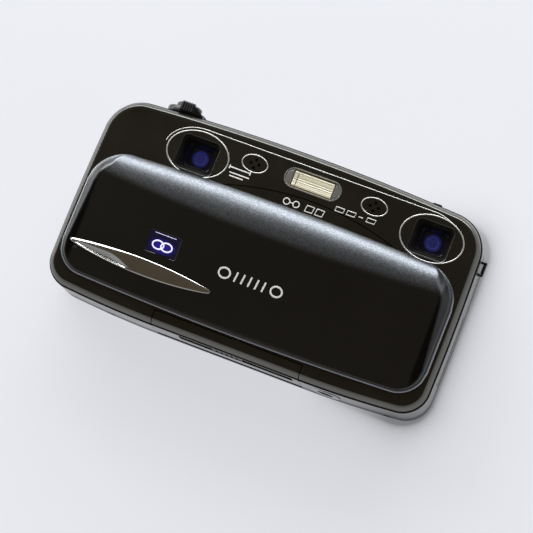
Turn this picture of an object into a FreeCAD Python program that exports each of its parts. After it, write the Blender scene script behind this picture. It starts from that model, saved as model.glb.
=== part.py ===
import FreeCAD
import Part
import math
import os

Vec = FreeCAD.Vector
os.makedirs("parts", exist_ok=True)

# Stereo compact camera, upright: X to the right as seen from the front, Y towards the back, Z up.
# The origin is the centre of the base. All values are millimetres.

# ---- driving dimensions: the case ----
WIDTH = 122.0           # case, side to side
HEIGHT = 64.9           # case, base to the crown of the top
DEPTH = 21.0            # case, front panel face to back face
TOP_R = 700.0           # crown of the top
BASE_FLAT = 22.6        # half length of the level middle of the base
BASE_R = 330.0          # rise of the base beyond it
SIDE_R = 720.0          # bulge of each side
CORNER_TOP = 11.5
CORNER_BASE = 8.5
WALL = 1.4
PANEL_T = 1.2           # front panel
RIM_IN = 0.45           # front panel set in from the middle band
BEVEL_IN = 1.85         # inner edge of the bevel round the front panel
BEVEL_DEEP = 2.0        # and back
PANEL_RIM = 3.0         # depth of the front panel with its rim
BAND_DEPTH = 10.9       # middle band, front to back
SEAM = 0.1              # open joint between case parts

# ---- driving dimensions: optics ----
BASELINE = 75.0         # between the two lens axes
LENS_MID_X = 7.54       # middle of the two axes
LENS_DROP = 12.1        # lens axis below the crown of the top
RING_A = 9.7            # oval ring, half width
RING_B = 7.0            # and half height
RING_WIRE = 0.36
RING_PROUD = 0.12
HOOD_W = 12.0
HOOD_H = 10.8
HOOD_R = 1.8
HOOD_DROP = 0.4         # hood centre below the lens axis
LENS_R = 2.7
UNIT_W = 17.0           # folded lens unit
UNIT_FRONT = -3.6       # its front and back faces
UNIT_BACK = 3.6
UNIT_FLOOR = 8.0        # its lower and upper ends
UNIT_TOP_GAP = 5.2      # below the crown of the top
UNIT_WALL = 0.8
UNIT_CLEAR = 0.1        # lens unit to the inside of the case
MOTOR_R = 1.6
MOTOR_GAP = 0.18        # motor to the unit, and to the battery bay
ROD_R = 0.6
ROD_SIDE = 5.6          # guide rods, either side of the optical axis
ZOOM_TRAVEL = 13.0
FOCUS_TRAVEL = 4.0
RUNNING = 0.06          # radial clearance of a sliding fit

# ---- driving dimensions: front furniture ----
MIC_DROP = 8.9          # below the crown of the top
MIC_LEFT_X = -12.6
MIC_RIGHT_X = 25.7
MIC_A = 4.0
MIC_B = 2.65
MIC_HOLE_R = 0.36
MIC_HOLE_PITCH = 1.3
FLASH_X = 6.0
FLASH_DROP = 8.8
FLASH_W = 17.8
FLASH_H = 6.1
TRIM_DROP = 4.0         # straight trim line below the crown of the top
TRIM_WIDE = 0.3

# ---- driving dimensions: slide cover ----
COVER_HALF = 58.4
COVER_FOOT = 4.85       # lower edge above the base, lens cover open
COVER_TOP = 46.9        # upper edge at the middle
COVER_TOP_CROWN = 1.35  # drop of that edge 49 mm out
COVER_CORNER = 11.5
COVER_GAP = 0.3         # running gap to the front panel
COVER_LIP = 1.4         # height of the lower lip
RIDGE = 6.8             # ridge above the front panel
CREASE = 35.0           # where the face meets the ridge curve, at the middle
CREASE_BOW = 2.1        # rise of the crease 54 mm out
RIDGE_FALL = 0.7        # ridge lower 54 mm out
FLANK_IN = 3.9          # how far the end flanks lean in
COVER_WALL = 1.2
COVER_TRAVEL = 16.5
LEG_X = (-16.5, 30.0)
LEG_W = 3.0
LEG_H = 3.0
LEG_Z = 24.0
GUIDE_X = (-24.0, 38.5)
GUIDE_Y = -6.9

# ---- driving dimensions: battery door, base, sides, top and back ----
DOOR_LEFT = -24.0
DOOR_RIGHT = 23.0
DOOR_LIP = 4.4
DOOR_T = 1.4
HINGE_Y = 4.7
HINGE_Z = 1.6
HINGE_R = 0.5
LUG_X = (-10.0, 10.0)
BUSH_X = 31.0
BUSH_R = 2.55
BUSH_DEEP = 5.5
BATTERY = (34.0, 7.8, 48.0)
BATTERY_PLAY = 0.2      # round the battery in its bay
BATTERY_WALL = 0.7      # side walls of the bay
CARD = (24.0, 2.1, 32.0)
ZOOM_X = -39.8
ZOOM_Y = -1.5
ZOOM_R = 6.2
BUTTON_R = 4.0
LCD_W = 84.0
LCD_H = 50.0
LCD_MID_Z = 33.0
SIDE_X = 51.8           # columns of controls beside the screen
DIAL_R = 6.2
PAD_R = 6.4
SCREW_X = (-40.0, 50.0)
SCREW_Y = 6.6
TERMINAL_Z = (14.0, 36.0)
TERMINAL_IN = (2.4, 0.9)  # terminal opening, in from the band's front and back edges
SOCKET_DEEP = 4.4       # side sockets, unless a lens unit stands nearer
EYELET_Z = 51.2

FRONT = -DEPTH / 2
BACK = DEPTH / 2
HALF = WIDTH / 2
BAND_FRONT = FRONT + PANEL_RIM + SEAM
BAND_BACK = BAND_FRONT + BAND_DEPTH
REAR_FRONT = BAND_BACK + SEAM
LENS_Z = HEIGHT - LENS_DROP
LENS_X = (LENS_MID_X - BASELINE / 2, LENS_MID_X + BASELINE / 2)
COVER_BACK = FRONT - COVER_GAP
UNIT_TOP = HEIGHT - UNIT_TOP_GAP
BATTERY_X = LENS_X[0] + UNIT_W / 2 + 2 * (MOTOR_R + MOTOR_GAP) + BATTERY_PLAY + BATTERY_WALL + BATTERY[0] / 2
TERMINAL_Y = (BAND_FRONT + TERMINAL_IN[0], BAND_BACK - TERMINAL_IN[1])
PIN_X = HALF - 1.05
PIN_Y = TERMINAL_Y[1] - 1.2


# ---- helpers ----
def base_rise(x):
    return max(abs(x) - BASE_FLAT, 0.0) ** 2 / (2 * BASE_R)


def box(x0, x1, y0, y1, z0, z1):
    return Part.makeBox(x1 - x0, y1 - y0, z1 - z0, Vec(x0, y0, z0))


def rod(r, length, start, axis):
    return Part.makeCylinder(r, length, Vec(*start), Vec(*axis))


def fuse(first, *rest):
    return first.fuse(list(rest)).removeSplitter() if rest else first


def cut(body, *tools):
    return body.cut(list(tools))


def prism(wire, y0, y1):
    face = Part.Face(wire.translated(Vec(0, y0, 0)))
    return face.extrude(Vec(0, y1 - y0, 0))


def loft(sections):
    wires = [wire.translated(Vec(0, y, 0)) for wire, y in sections]
    return Part.makeLoft(wires, True, True)


def plate(cx, cz, w, h, r, y0, y1):
    """A plate with rounded corners, its thickness along Y."""
    body = box(cx - w / 2, cx + w / 2, y0, y1, cz - h / 2, cz + h / 2)
    edges = [e for e in body.Edges if abs(e.tangentAt(e.FirstParameter).y) > 0.9]
    return body.makeFillet(min(r, w / 2 - 0.01, h / 2 - 0.01), edges)


def ellipse_wire(cx, cz, a, b):
    curve = Part.Ellipse(Vec(0, 0, 0), a, b)
    wire = Part.Wire([curve.toShape()])
    wire.rotate(Vec(0, 0, 0), Vec(1, 0, 0), 90)
    return wire.translated(Vec(cx, 0, cz))


def oval_ring(cx, cz, a, b, wide, y0, y1):
    outer = prism(ellipse_wire(cx, cz, a + wide / 2, b + wide / 2), y0, y1)
    inner = prism(ellipse_wire(cx, cz, a - wide / 2, b - wide / 2), y0 - 1, y1 + 1)
    return outer.cut(inner)


def line(a, b):
    return Part.LineSegment(Vec(*a), Vec(*b)).toShape()


def arc(a, mid, b):
    return Part.Arc(Vec(*a), Vec(*mid), Vec(*b)).toShape()


def save(name, *pieces):
    solids = [s for piece in pieces for s in piece.Solids]
    bad = [s for s in solids if not s.isValid() or s.Volume <= 0]
    if bad or not solids:
        raise ValueError("bad solid in " + name)
    shape = solids[0] if len(solids) == 1 else Part.makeCompound(solids)
    shape.exportStep("parts/" + name + ".step")
    print(name, len(solids), round(shape.Volume, 1))


# ---- the case outline, in the XZ plane ----
def meet(a, ra, b, rb):
    """Where two circles cross: the crossing with the larger x."""
    gap = math.dist(a, b)
    along = (ra * ra - rb * rb + gap * gap) / (2 * gap)
    off = math.sqrt(ra * ra - along * along)
    ux, uz = (b[0] - a[0]) / gap, (b[1] - a[1]) / gap
    found = [(a[0] + ux * along - uz * off * k, a[1] + uz * along + ux * off * k) for k in (1, -1)]
    return max(found)


def on_circle(centre, through, r):
    length = math.dist(centre, through)
    return (centre[0] + (through[0] - centre[0]) / length * r, centre[1] + (through[1] - centre[1]) / length * r)


def soft_box(inset, half, side_r, side_z, top, top_r, base, base_r, flat, corner_top, corner_base):
    """A box outline of five large arcs with tangent corners, drawn inset by one value all round."""
    side, crown, foot = (half - side_r, side_z), (0.0, top - top_r), (flat, base + base_r)
    high = meet(side, side_r - corner_top, crown, top_r - corner_top)
    low = meet(side, side_r - corner_base, foot, base_r - corner_base)
    marks = [(flat, base + inset), on_circle(foot, low, base_r - inset), on_circle(side, low, side_r - inset),
             on_circle(side, high, side_r - inset), on_circle(crown, high, top_r - inset)]
    turns = [(foot, base_r), (low, corner_base), (side, side_r), (high, corner_top)]
    edges = []
    for sign in (1, -1):
        for (p, q), (centre, r) in zip(zip(marks, marks[1:]), turns):
            mid = on_circle(centre, ((p[0] + q[0]) / 2, (p[1] + q[1]) / 2), r - inset)
            edges.append(arc(*[(sign * u, 0, v) for u, v in (p, mid, q)]))
    end = marks[-1]
    edges.append(arc((end[0], 0, end[1]), (0, 0, top - inset), (-end[0], 0, end[1])))
    if flat > 0:
        edges.append(line((-flat, 0, base + inset), (flat, 0, base + inset)))
    return Part.Wire(Part.__sortEdges__(edges))


def outline(inset):
    return soft_box(inset, HALF, SIDE_R, HEIGHT * 0.385, HEIGHT, TOP_R, 0.0, BASE_R, BASE_FLAT,
                    CORNER_TOP, CORNER_BASE)


def slab(inset, y0, y1):
    return prism(outline(inset), y0, y1)


# ---- case parts ----
def front_shell():
    edge = FRONT + BEVEL_DEEP
    rim_back = FRONT + PANEL_RIM
    bulge = RIM_IN + (BEVEL_IN - RIM_IN) * 0.3
    bevel = loft([(outline(RIM_IN), edge), (outline(bulge), edge - BEVEL_DEEP * 0.6), (outline(BEVEL_IN), FRONT)])
    body = fuse(bevel, slab(RIM_IN, edge, rim_back))
    return body.cut(slab(BEVEL_IN + 0.8, FRONT + PANEL_T, rim_back + 1))


def mic_holes(cx):
    z = HEIGHT - MIC_DROP
    spots = [(-MIC_HOLE_PITCH, 0), (MIC_HOLE_PITCH, 0), (0, MIC_HOLE_PITCH), (0, -MIC_HOLE_PITCH)]
    return [rod(MIC_HOLE_R, PANEL_T + 2, (cx + dx, FRONT - 1, z + dz), (0, 1, 0)) for dx, dz in spots]


def guide_brackets():
    low = LEG_Z - 3.0
    high = LEG_Z + LEG_H + COVER_TRAVEL + 0.4
    found = []
    for x in GUIDE_X:
        for z in (low, high):
            lug = box(x - 1.6, x + 1.6, FRONT + PANEL_T, GUIDE_Y + 1.4, z, z + 1.6)
            found.append(lug.cut(rod(ROD_R, 1.6, (x, GUIDE_Y, z), (0, 0, 1))))
    return found


def front_panel(shell):
    tools = [box(DOOR_LEFT - SEAM, DOOR_RIGHT + SEAM, FRONT - 1, BAND_FRONT, -1, DOOR_LIP + SEAM)]
    for x in LENS_X:
        tools.append(plate(x, LENS_Z - HOOD_DROP, HOOD_W + 0.2, HOOD_H + 0.2, HOOD_R, FRONT - 1, -8))
    for x in (MIC_LEFT_X, MIC_RIGHT_X):
        tools += mic_holes(x)
    tools.append(plate(FLASH_X, HEIGHT - FLASH_DROP, FLASH_W + 0.2, FLASH_H + 0.2, 3.1, FRONT - 1, -8))
    for x in LEG_X:
        wide = LEG_W / 2 + 0.3
        top = LEG_Z + LEG_H + COVER_TRAVEL + 0.3
        tools.append(box(x - wide, x + wide, FRONT - 1, -8, LEG_Z - 0.3, top))
    rise = 88.0
    low = rod(rise, 0.2, (LENS_MID_X, FRONT - 0.0, HEIGHT - 13.7 - rise), (0, 1, 0))
    groove = low.cut(rod(rise - 0.28, 0.4, (LENS_MID_X, FRONT - 0.1, HEIGHT - 13.7 - rise), (0, 1, 0)))
    tools.append(groove.common(box(LENS_MID_X - 29, LENS_MID_X + 29, FRONT, FRONT + 0.2, 40, HEIGHT)))
    return fuse(cut(shell, *tools), *guide_brackets())


def side_socket_cut():
    return box(HALF - 6, HALF + 2, TERMINAL_Y[0], TERMINAL_Y[1], TERMINAL_Z[0], TERMINAL_Z[1])


def body_band():
    ring = slab(0, BAND_FRONT, BAND_BACK).cut(slab(WALL, BAND_FRONT - 1, BAND_BACK + 1))
    tools = [box(DOOR_LEFT - SEAM, DOOR_RIGHT + SEAM, BAND_FRONT - 1, BAND_BACK + 1, -1, 4)]
    tools.append(rod(2.3, 8, (ZOOM_X, ZOOM_Y, HEIGHT - 5), (0, 0, 1)))
    tools.append(rod(BUSH_R + 2.2, 4, (BUSH_X, 0, -1), (0, 0, 1)))
    tools.append(side_socket_cut())
    tools.append(box(39.4, 45.2, -5.6, -2.4, HEIGHT - 5, HEIGHT + 1))
    for z in (EYELET_Z - 1.9, EYELET_Z + 1.9):
        tools.append(rod(0.6, 6, (HALF - 4, -1, z), (1, 0, 0)))
    return cut(ring, *tools)


def controls_back():
    """Openings of the back: (kind, x, z, size) for each control."""
    x = SIDE_X
    return {"mode_dial": (-x, HEIGHT - 15.0, DIAL_R), "menu_pad": (-x, HEIGHT - 35.0, PAD_R),
            "button_playback": (-x - 3.4, HEIGHT - 49.0, 2.3), "button_display": (-x + 3.4, HEIGHT - 49.0, 2.3),
            "button_stereo": (x, HEIGHT - 14.0, 3.0), "button_photo": (x, HEIGHT - 26.0, 3.0),
            "button_movie": (x, HEIGHT - 38.0, 3.0)}


def rear_cover():
    y1 = BACK - 2.0
    outer = fuse(slab(0, REAR_FRONT, y1), loft([(outline(0), y1), (outline(0.4), BACK - 0.8), (outline(1.3), BACK)]))
    body = outer.cut(slab(WALL, REAR_FRONT - 1, BACK - WALL))
    tools = [plate(0, LCD_MID_Z, LCD_W + 0.2, LCD_H + 0.2, 2.0, 5, BACK + 1)]
    tools.append(rod(BUSH_R + 2.2, 8, (BUSH_X, 0, -1), (0, 0, 1)))
    for x in SCREW_X:
        tools.append(rod(0.85, 8, (x, SCREW_Y, -1), (0, 0, 1)))
        tools.append(rod(1.6, 1.8 + base_rise(x), (x, SCREW_Y, -1), (0, 0, 1)))
    for x, z, r in controls_back().values():
        tools.append(rod(r + 0.15, 6, (x, BACK - 4, z), (0, 1, 0)))
    tools.append(box(DOOR_LEFT - SEAM, DOOR_RIGHT + SEAM, REAR_FRONT - 1, HINGE_Y + 1.75, -1, 3.4))
    for i in range(5):
        for k in range(3):
            tools.append(rod(0.45, 3, (SIDE_X - 3.2 + 1.6 * i, BACK - 2, 12.4 + 1.6 * k), (0, 1, 0)))
    body = cut(body, *tools)
    lugs = []
    for x in LUG_X:
        lug = fuse(rod(1.2, 4, (x - 2, HINGE_Y, HINGE_Z), (1, 0, 0)),
                   box(x - 2, x + 2, HINGE_Y, HINGE_Y + 2.4, HINGE_Z - 1.0, HINGE_Z + 1.2))
        lugs.append(lug.cut(rod(HINGE_R, 6, (x - 3, HINGE_Y, HINGE_Z), (1, 0, 0))))
    return fuse(body, *lugs)


# ---- slide cover ----
def cover_section(x, shrink):
    """One upright section of the cover, at x: foot, lip, sloping face, then the ridge curve."""
    out = abs(x)
    top = COVER_TOP - COVER_TOP_CROWN * (out / 49.0) ** 2 - shrink
    crease = CREASE + CREASE_BOW * (out / 54.0) ** 2
    ridge_y = FRONT - RIDGE + RIDGE_FALL * (out / 54.0) ** 2 + shrink
    foot = COVER_FOOT + shrink
    lip_y = COVER_BACK - COVER_LIP + shrink
    back = COVER_BACK + (1.0 if shrink else 0.0)
    edges = [line((x, back, top), (x, back, foot)), line((x, back, foot), (x, lip_y + 0.9, foot))]
    edges.append(arc((x, lip_y + 0.9, foot), (x, lip_y + 0.26, foot + 0.26), (x, lip_y, foot + 0.9)))
    edges.append(line((x, lip_y, foot + 0.9), (x, ridge_y, crease)))
    deep = COVER_BACK - ridge_y
    points = []
    for i in range(9):
        turn = math.radians(90 * i / 8)
        points.append(Vec(x, COVER_BACK - deep * math.cos(turn), crease + (top - crease) * math.sin(turn)))
    curve = Part.BSplineCurve()
    curve.interpolate(points)
    edges.append(curve.toShape())
    if shrink:
        edges.append(line((x, COVER_BACK, top), (x, back, top)))
    return Part.Wire(edges)


def cover_outline(inset):
    """Front view of the cover: crowned foot and top, rounded corners."""
    top = COVER_TOP
    crown = 49.0 ** 2 / (2 * COVER_TOP_CROWN)
    return soft_box(inset, COVER_HALF, 2000.0, 25.0, top, crown, COVER_FOOT, 1100.0, 0.0, COVER_CORNER, 9.0)


def cover_blank(shrink):
    xs = [COVER_HALF * 1.03 * k / 4 for k in range(-4, 5)]
    body = Part.makeLoft([cover_section(x, shrink) for x in xs], True, False)
    lip_y = COVER_BACK - 1.2
    skirt = prism(cover_outline(shrink), COVER_BACK + (1.0 if shrink else 0.0), lip_y)
    cap = loft([(cover_outline(shrink), lip_y), (cover_outline(shrink + FLANK_IN), FRONT - RIDGE + 0.6),
                (cover_outline(shrink + FLANK_IN + 1.4), FRONT - RIDGE - 0.5)])
    return body.common(fuse(skirt, cap))


def face_slope():
    run = CREASE - (COVER_FOOT + 0.9)
    rise = RIDGE - COVER_GAP - COVER_LIP
    return math.degrees(math.atan2(rise, run))


def face_slab(proud, deep):
    """A slab lying along the sloping face, proud of it by one value and into it by the other."""
    slab_box = box(-60, 60, -proud, deep, -5, 40)
    slab_box.rotate(Vec(0, 0, 0), Vec(1, 0, 0), face_slope())
    return slab_box.translated(Vec(0, COVER_BACK - COVER_LIP, COVER_FOOT + 0.9))


def grip_wire(grow):
    z = COVER_FOOT + 10.0
    left, right, mid = -54.9 - grow, -10.4 + grow, -32.6
    return Part.Wire([arc((left, 0, z + 0.2), (mid, 0, z + 2.3 + grow), (right, 0, z - 0.1)),
                      arc((right, 0, z - 0.1), (mid, 0, z - 3.3 - grow), (left, 0, z + 0.2))])


def badge_plate(grow, y0, y1):
    return plate(-28.4, COVER_FOOT + 18.1, 9.6 + grow, 6.2 + grow, 0.5, y0, y1)


def slide_cover():
    body = cover_blank(0.0).cut(cover_blank(COVER_WALL))
    floor = box(-57, -8, FRONT - RIDGE, COVER_BACK, COVER_FOOT + 5.6, COVER_FOOT + 23)
    backing = floor.common(cover_blank(0.0)).common(face_slab(0.0, 2.2))
    body = fuse(body, backing.common(prism(cover_outline(0.5), FRONT - RIDGE, COVER_BACK)))
    body = body.cut(prism(grip_wire(0.05), -20, -8).common(face_slab(1, 0.9)))
    body = body.cut(badge_plate(0.1, -20, -8).common(face_slab(1, 0.9)))
    legs = []
    for x in LEG_X:
        leg = box(x - LEG_W / 2, x + LEG_W / 2, FRONT - 4.6, FRONT + PANEL_T + 0.1, LEG_Z, LEG_Z + LEG_H)
        legs.append(leg.cut(rod(0.5, 3, (x, FRONT + PANEL_T - 1.9, LEG_Z + LEG_H / 2), (0, 1, 0))))
    return fuse(body, *legs)


def cover_grip():
    return prism(grip_wire(0.0), -20, -8).common(face_slab(0.3, 0.9))


def badge_window():
    return badge_plate(0.0, -20, -8).common(face_slab(0.02, 0.9))


def cover_carriage():
    y0, y1 = FRONT + PANEL_T + 0.1, FRONT + PANEL_T + 0.8
    strip = box(GUIDE_X[0] - 1.8, GUIDE_X[1] + 1.8, y0, y1, LEG_Z, LEG_Z + LEG_H)
    blocks = [box(x - 1.8, x + 1.8, y1, GUIDE_Y + 1.3, LEG_Z, LEG_Z + LEG_H) for x in GUIDE_X]
    body = fuse(strip, *blocks)
    tools = [rod(ROD_R + RUNNING, 12, (x, GUIDE_Y, LEG_Z - 2), (0, 0, 1)) for x in GUIDE_X]
    tools += [rod(0.55, 6, (x, y0 - 2, LEG_Z + LEG_H / 2), (0, 1, 0)) for x in LEG_X]
    return cut(body, *tools)


def cover_screws():
    y1 = FRONT + PANEL_T + 0.8
    z = LEG_Z + LEG_H / 2
    return [fuse(rod(0.5, y1 - FRONT, (x, FRONT, z), (0, 1, 0)), rod(1.1, 0.35, (x, y1, z), (0, 1, 0)))
            for x in LEG_X]


def cover_rods():
    low = LEG_Z - 3.0
    high = LEG_Z + LEG_H + COVER_TRAVEL + 2.0
    return [rod(ROD_R, high - low, (x, GUIDE_Y, low), (0, 0, 1)) for x in GUIDE_X]


# ---- front furniture ----
def lens_hood(x):
    z = LENS_Z - HOOD_DROP
    rear = UNIT_FRONT - 0.1
    body = plate(x, z, HOOD_W, HOOD_H, HOOD_R - 0.1, FRONT, rear)
    steps = [(1.4, 1.3, FRONT - 1, FRONT + 1.0), (2.6, 1.2, FRONT, FRONT + 2.4), (4.0, 1.0, FRONT, FRONT + 4.0),
             (5.4, 0.8, FRONT, rear - 0.8)]
    tools = [plate(x, z, HOOD_W - d, HOOD_H - d, r, y0, y1) for d, r, y0, y1 in steps]
    tools.append(rod(LENS_R + 0.1, 4, (x, rear - 2, LENS_Z), (0, 1, 0)))
    return cut(body, *tools)


def front_lens(x):
    body = rod(LENS_R, 1.3, (x, UNIT_FRONT - 0.9, LENS_Z), (0, 1, 0))
    ball = Part.makeSphere(5.0, Vec(x, UNIT_FRONT - 0.9 + 4.2, LENS_Z))
    cap = ball.common(rod(LENS_R, 1.2, (x, UNIT_FRONT - 2.1, LENS_Z), (0, 1, 0)))
    return fuse(body, cap)


def lens_rings():
    return [oval_ring(x, LENS_Z + 0.05, RING_A, RING_B, RING_WIRE, FRONT - RING_PROUD, FRONT) for x in LENS_X]


def mic_rings():
    z = HEIGHT - MIC_DROP
    return [oval_ring(x, z, MIC_A, MIC_B, RING_WIRE, FRONT - RING_PROUD, FRONT) for x in (MIC_LEFT_X, MIC_RIGHT_X)]


def panel_trim():
    """Thin strip: over the left ring, straight along the top, down to the right ring."""
    z = HEIGHT - TRIM_DROP
    x0, x1 = LENS_X
    rise = z - LENS_Z
    grown = RING_A + 1.0

    def strip(shift):
        a, b = grown + shift, rise + shift
        left = Part.Ellipse(Vec(0, 0, 0), a, b)
        quarter = Part.Wire([left.toShape(math.radians(90), math.radians(176))])
        quarter.rotate(Vec(0, 0, 0), Vec(1, 0, 0), 90)
        return quarter.translated(Vec(x0, FRONT, LENS_Z))

    outer = prism(ellipse_wire(x0, LENS_Z, grown, rise), FRONT - RING_PROUD, FRONT)
    inner = prism(ellipse_wire(x0, LENS_Z, grown - TRIM_WIDE, rise - TRIM_WIDE), FRONT - 1, FRONT + 1)
    hook = outer.cut(inner).common(box(x0 - 14, x0, FRONT - 1, FRONT + 1, LENS_Z + 0.6, HEIGHT))
    bar = box(x0, x1 - 2, FRONT - RING_PROUD, FRONT, z - TRIM_WIDE, z)
    a2 = RING_A + 0.5
    outer = prism(ellipse_wire(x1 - 2, LENS_Z, a2, rise), FRONT - RING_PROUD, FRONT)
    inner = prism(ellipse_wire(x1 - 2, LENS_Z, a2 - TRIM_WIDE, rise - TRIM_WIDE), FRONT - 1, FRONT + 1)
    tail = outer.cut(inner).common(box(x1 - 2, x1 + 14, FRONT - 1, FRONT + 1, LENS_Z + 6.0, HEIGHT))
    clear = prism(ellipse_wire(x1, LENS_Z + 0.05, RING_A + 0.3, RING_B + 0.3), FRONT - 1, FRONT + 1)
    return fuse(hook, bar, tail).cut(clear)


def microphones():
    z = HEIGHT - MIC_DROP
    return [rod(2.2, 1.4, (x, FRONT + PANEL_T, z), (0, 1, 0)) for x in (MIC_LEFT_X, MIC_RIGHT_X)]


def flash_parts():
    z = HEIGHT - FLASH_DROP
    window = plate(FLASH_X, z, FLASH_W, FLASH_H, 3.0, FRONT, FRONT + 1.3)
    y0 = FRONT + 1.4
    shell = plate(FLASH_X, z, 14.6, 5.4, 1.0, y0, y0 + 3.0)
    dish = plate(FLASH_X, z, 13.6, 4.4, 0.9, y0 - 1, y0 + 2.5)
    tube = rod(0.9, 12.8, (FLASH_X - 6.4, y0 + 1.2, z), (1, 0, 0))
    return window, shell.cut(dish), tube


# ---- folded lens units ----
def lens_housing(x):
    half = UNIT_W / 2
    body = box(x - half, x + half, UNIT_FRONT, UNIT_BACK, UNIT_FLOOR, UNIT_TOP)
    inner = half - UNIT_WALL
    deck = LENS_Z - 4.6
    tools = [box(x - inner, x + inner, UNIT_FRONT + UNIT_WALL, UNIT_BACK + 1, UNIT_FLOOR + UNIT_WALL, deck)]
    tools.append(box(x - 4, x + 4, UNIT_FRONT + UNIT_WALL, UNIT_BACK + 1, deck + UNIT_WALL, LENS_Z + 4))
    tools.append(rod(LENS_R + 0.02, 3, (x, UNIT_FRONT - 1, LENS_Z), (0, 1, 0)))
    tools.append(rod(3.0, 3, (x, 0.4, deck - 1), (0, 0, 1)))
    for side in (-ROD_SIDE, ROD_SIDE):
        tools.append(rod(ROD_R, 60, (x + side, 0.4, UNIT_FLOOR + 0.3), (0, 0, 1)).common(
            box(x - half, x + half, -2, 2, UNIT_FLOOR + 0.3, deck + UNIT_WALL - 0.3)))
    inside = slab(WALL + UNIT_CLEAR, UNIT_FRONT - 1, UNIT_BACK + 1)
    return cut(body, *tools).common(inside)


def unit_rods():
    low, high = UNIT_FLOOR + 0.3, LENS_Z - 4.6 + UNIT_WALL - 0.3
    return [rod(ROD_R, high - low, (x + s, 0.4, low), (0, 0, 1)) for x in LENS_X for s in (-ROD_SIDE, ROD_SIDE)]


def prism_block(x):
    s = 3.3
    mid_y = 0.4
    points = [(x - s, mid_y - 2.9, LENS_Z + s), (x - s, mid_y - 2.9, LENS_Z - s), (x - s, mid_y + 2.9, LENS_Z - s)]
    wire = Part.Wire([line(points[0], points[1]), line(points[1], points[2]), line(points[2], points[0])])
    return Part.Face(wire).extrude(Vec(2 * s, 0, 0))


def lens_carriage(x, low, tall, glass_r):
    half = UNIT_W / 2 - UNIT_WALL - 0.3
    body = box(x - half, x + half, -2.5, 3.2, low, low + tall)
    tools = [rod(ROD_R + RUNNING, tall + 2, (x + s, 0.4, low - 1), (0, 0, 1)) for s in (-ROD_SIDE, ROD_SIDE)]
    tools.append(rod(glass_r, tall + 2, (x, 0.4, low - 1), (0, 0, 1)))
    glass = rod(glass_r, tall * 0.5, (x, 0.4, low + tall * 0.25), (0, 0, 1))
    return cut(body, *tools), glass


def image_sensor(x):
    z = UNIT_FLOOR + UNIT_WALL
    return fuse(box(x - 4.6, x + 4.6, -2.4, 3.0, z, z + 0.8), box(x - 3.1, x + 3.1, -1.7, 2.4, z + 0.8, z + 1.3))


def zoom_motor(x):
    side = x + math.copysign(UNIT_W / 2 + MOTOR_R + MOTOR_GAP, -x)
    case = rod(MOTOR_R, 9.0, (side, -0.5, UNIT_FLOOR + 2), (0, 0, 1))
    return fuse(case, rod(0.6, 16.0, (side, -0.5, UNIT_FLOOR + 11), (0, 0, 1)))


# ---- inside: frame, boards, screen, power ----
def chassis():
    body = slab(WALL + 1.2, UNIT_BACK + 0.3, UNIT_BACK + 1.0)
    tools = [box(DOOR_LEFT - 1, DOOR_RIGHT + 1, 0, 8, -1, 5)]
    tools.append(box(BUSH_X - 5, BUSH_X + 5, 0, 8, -1, BUSH_DEEP + 1.6))
    tools.append(plate(-30, 30, 12, 26, 2, 0, 8))
    tools.append(plate(45, 30, 12, 26, 2, 0, 8))
    tabs = []
    for x in SCREW_X:
        z = base_rise(x) + 2.0
        tabs.append(box(x - 2, x + 2, UNIT_BACK + 0.3, SCREW_Y + 2, z, z + 1.4))
    body = fuse(cut(body, *tools), *tabs)
    return cut(body, *[rod(0.8, 12, (x, SCREW_Y, -1), (0, 0, 1)) for x in SCREW_X])


def main_board():
    y0 = UNIT_BACK + 1.4
    body = plate(4.0, 32.0, 84, 48, 2.0, y0, y0 + 0.8)
    return body


def board_chips():
    y0 = UNIT_BACK + 1.0
    spots = [(-24, 40, 9, 9), (-10, 22, 12, 12), (8, 44, 7, 10), (24, 24, 10, 8), (34, 46, 6, 6)]
    return [box(x, x + w, y0 + 0.02, y0 + 0.4, z, z + h) for x, z, w, h in spots]


def screen_parts():
    glass = plate(0, LCD_MID_Z, LCD_W, LCD_H, 1.9, BACK - 1.1, BACK - 0.1)
    barrier = plate(0, LCD_MID_Z + 0.6, 79.5, 45.6, 0.6, BACK - 1.5, BACK - 1.15)
    panel = plate(0, LCD_MID_Z, 81.0, 47.4, 0.8, BACK - 2.5, BACK - 1.55)
    light = plate(0, LCD_MID_Z, 82.4, 48.6, 0.8, BACK - 4.2, BACK - 2.55)
    return glass, barrier, panel, light


def battery_parts():
    w, t, h = BATTERY
    y0 = UNIT_BACK + 0.2 - 0.1 - t
    z0 = 4.2
    mid = BATTERY_X
    cell = box(mid - w / 2, mid + w / 2, y0, y0 + t, z0, z0 + h)
    edges = [e for e in cell.Edges if abs(e.tangentAt(e.FirstParameter).z) > 0.9]
    cell = cell.makeFillet(1.2, edges)
    side = w / 2 + BATTERY_PLAY
    out = side + BATTERY_WALL
    bay = box(mid - out, mid + out, y0 - 0.9, UNIT_BACK + 0.2, z0 - 0.6, z0 + h + 2.2)
    bay = bay.cut(box(mid - side, mid + side, y0 - 0.2, UNIT_BACK + 5, z0 - 2, z0 + h + 1.2))
    return cell, bay, y0 - 0.9


def card_parts(bay_front):
    w, t, h = CARD
    y1 = bay_front - 0.1
    mid = BATTERY_X
    card = box(mid - w / 2, mid + w / 2, y1 - t, y1, 5.0, 5.0 + h)
    corner = box(-1, 4, -5, 5, -4, 4)
    corner.rotate(Vec(0, 0, 0), Vec(0, 1, 0), -45)
    card = card.cut(corner.translated(Vec(mid + w / 2 - 1.6, y1 - t / 2, 5.0 + h)))
    slot = box(mid - w / 2 - 0.5, mid + w / 2 + 0.5, y1 - t - 0.35, bay_front, 12.0, 5.0 + h + 1.0)
    hollow = box(mid - w / 2 - 0.1, mid + w / 2 + 0.1, y1 - t - 0.1, bay_front + 1, 10, 5.0 + h + 0.4)
    return card, slot.cut(hollow)


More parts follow.
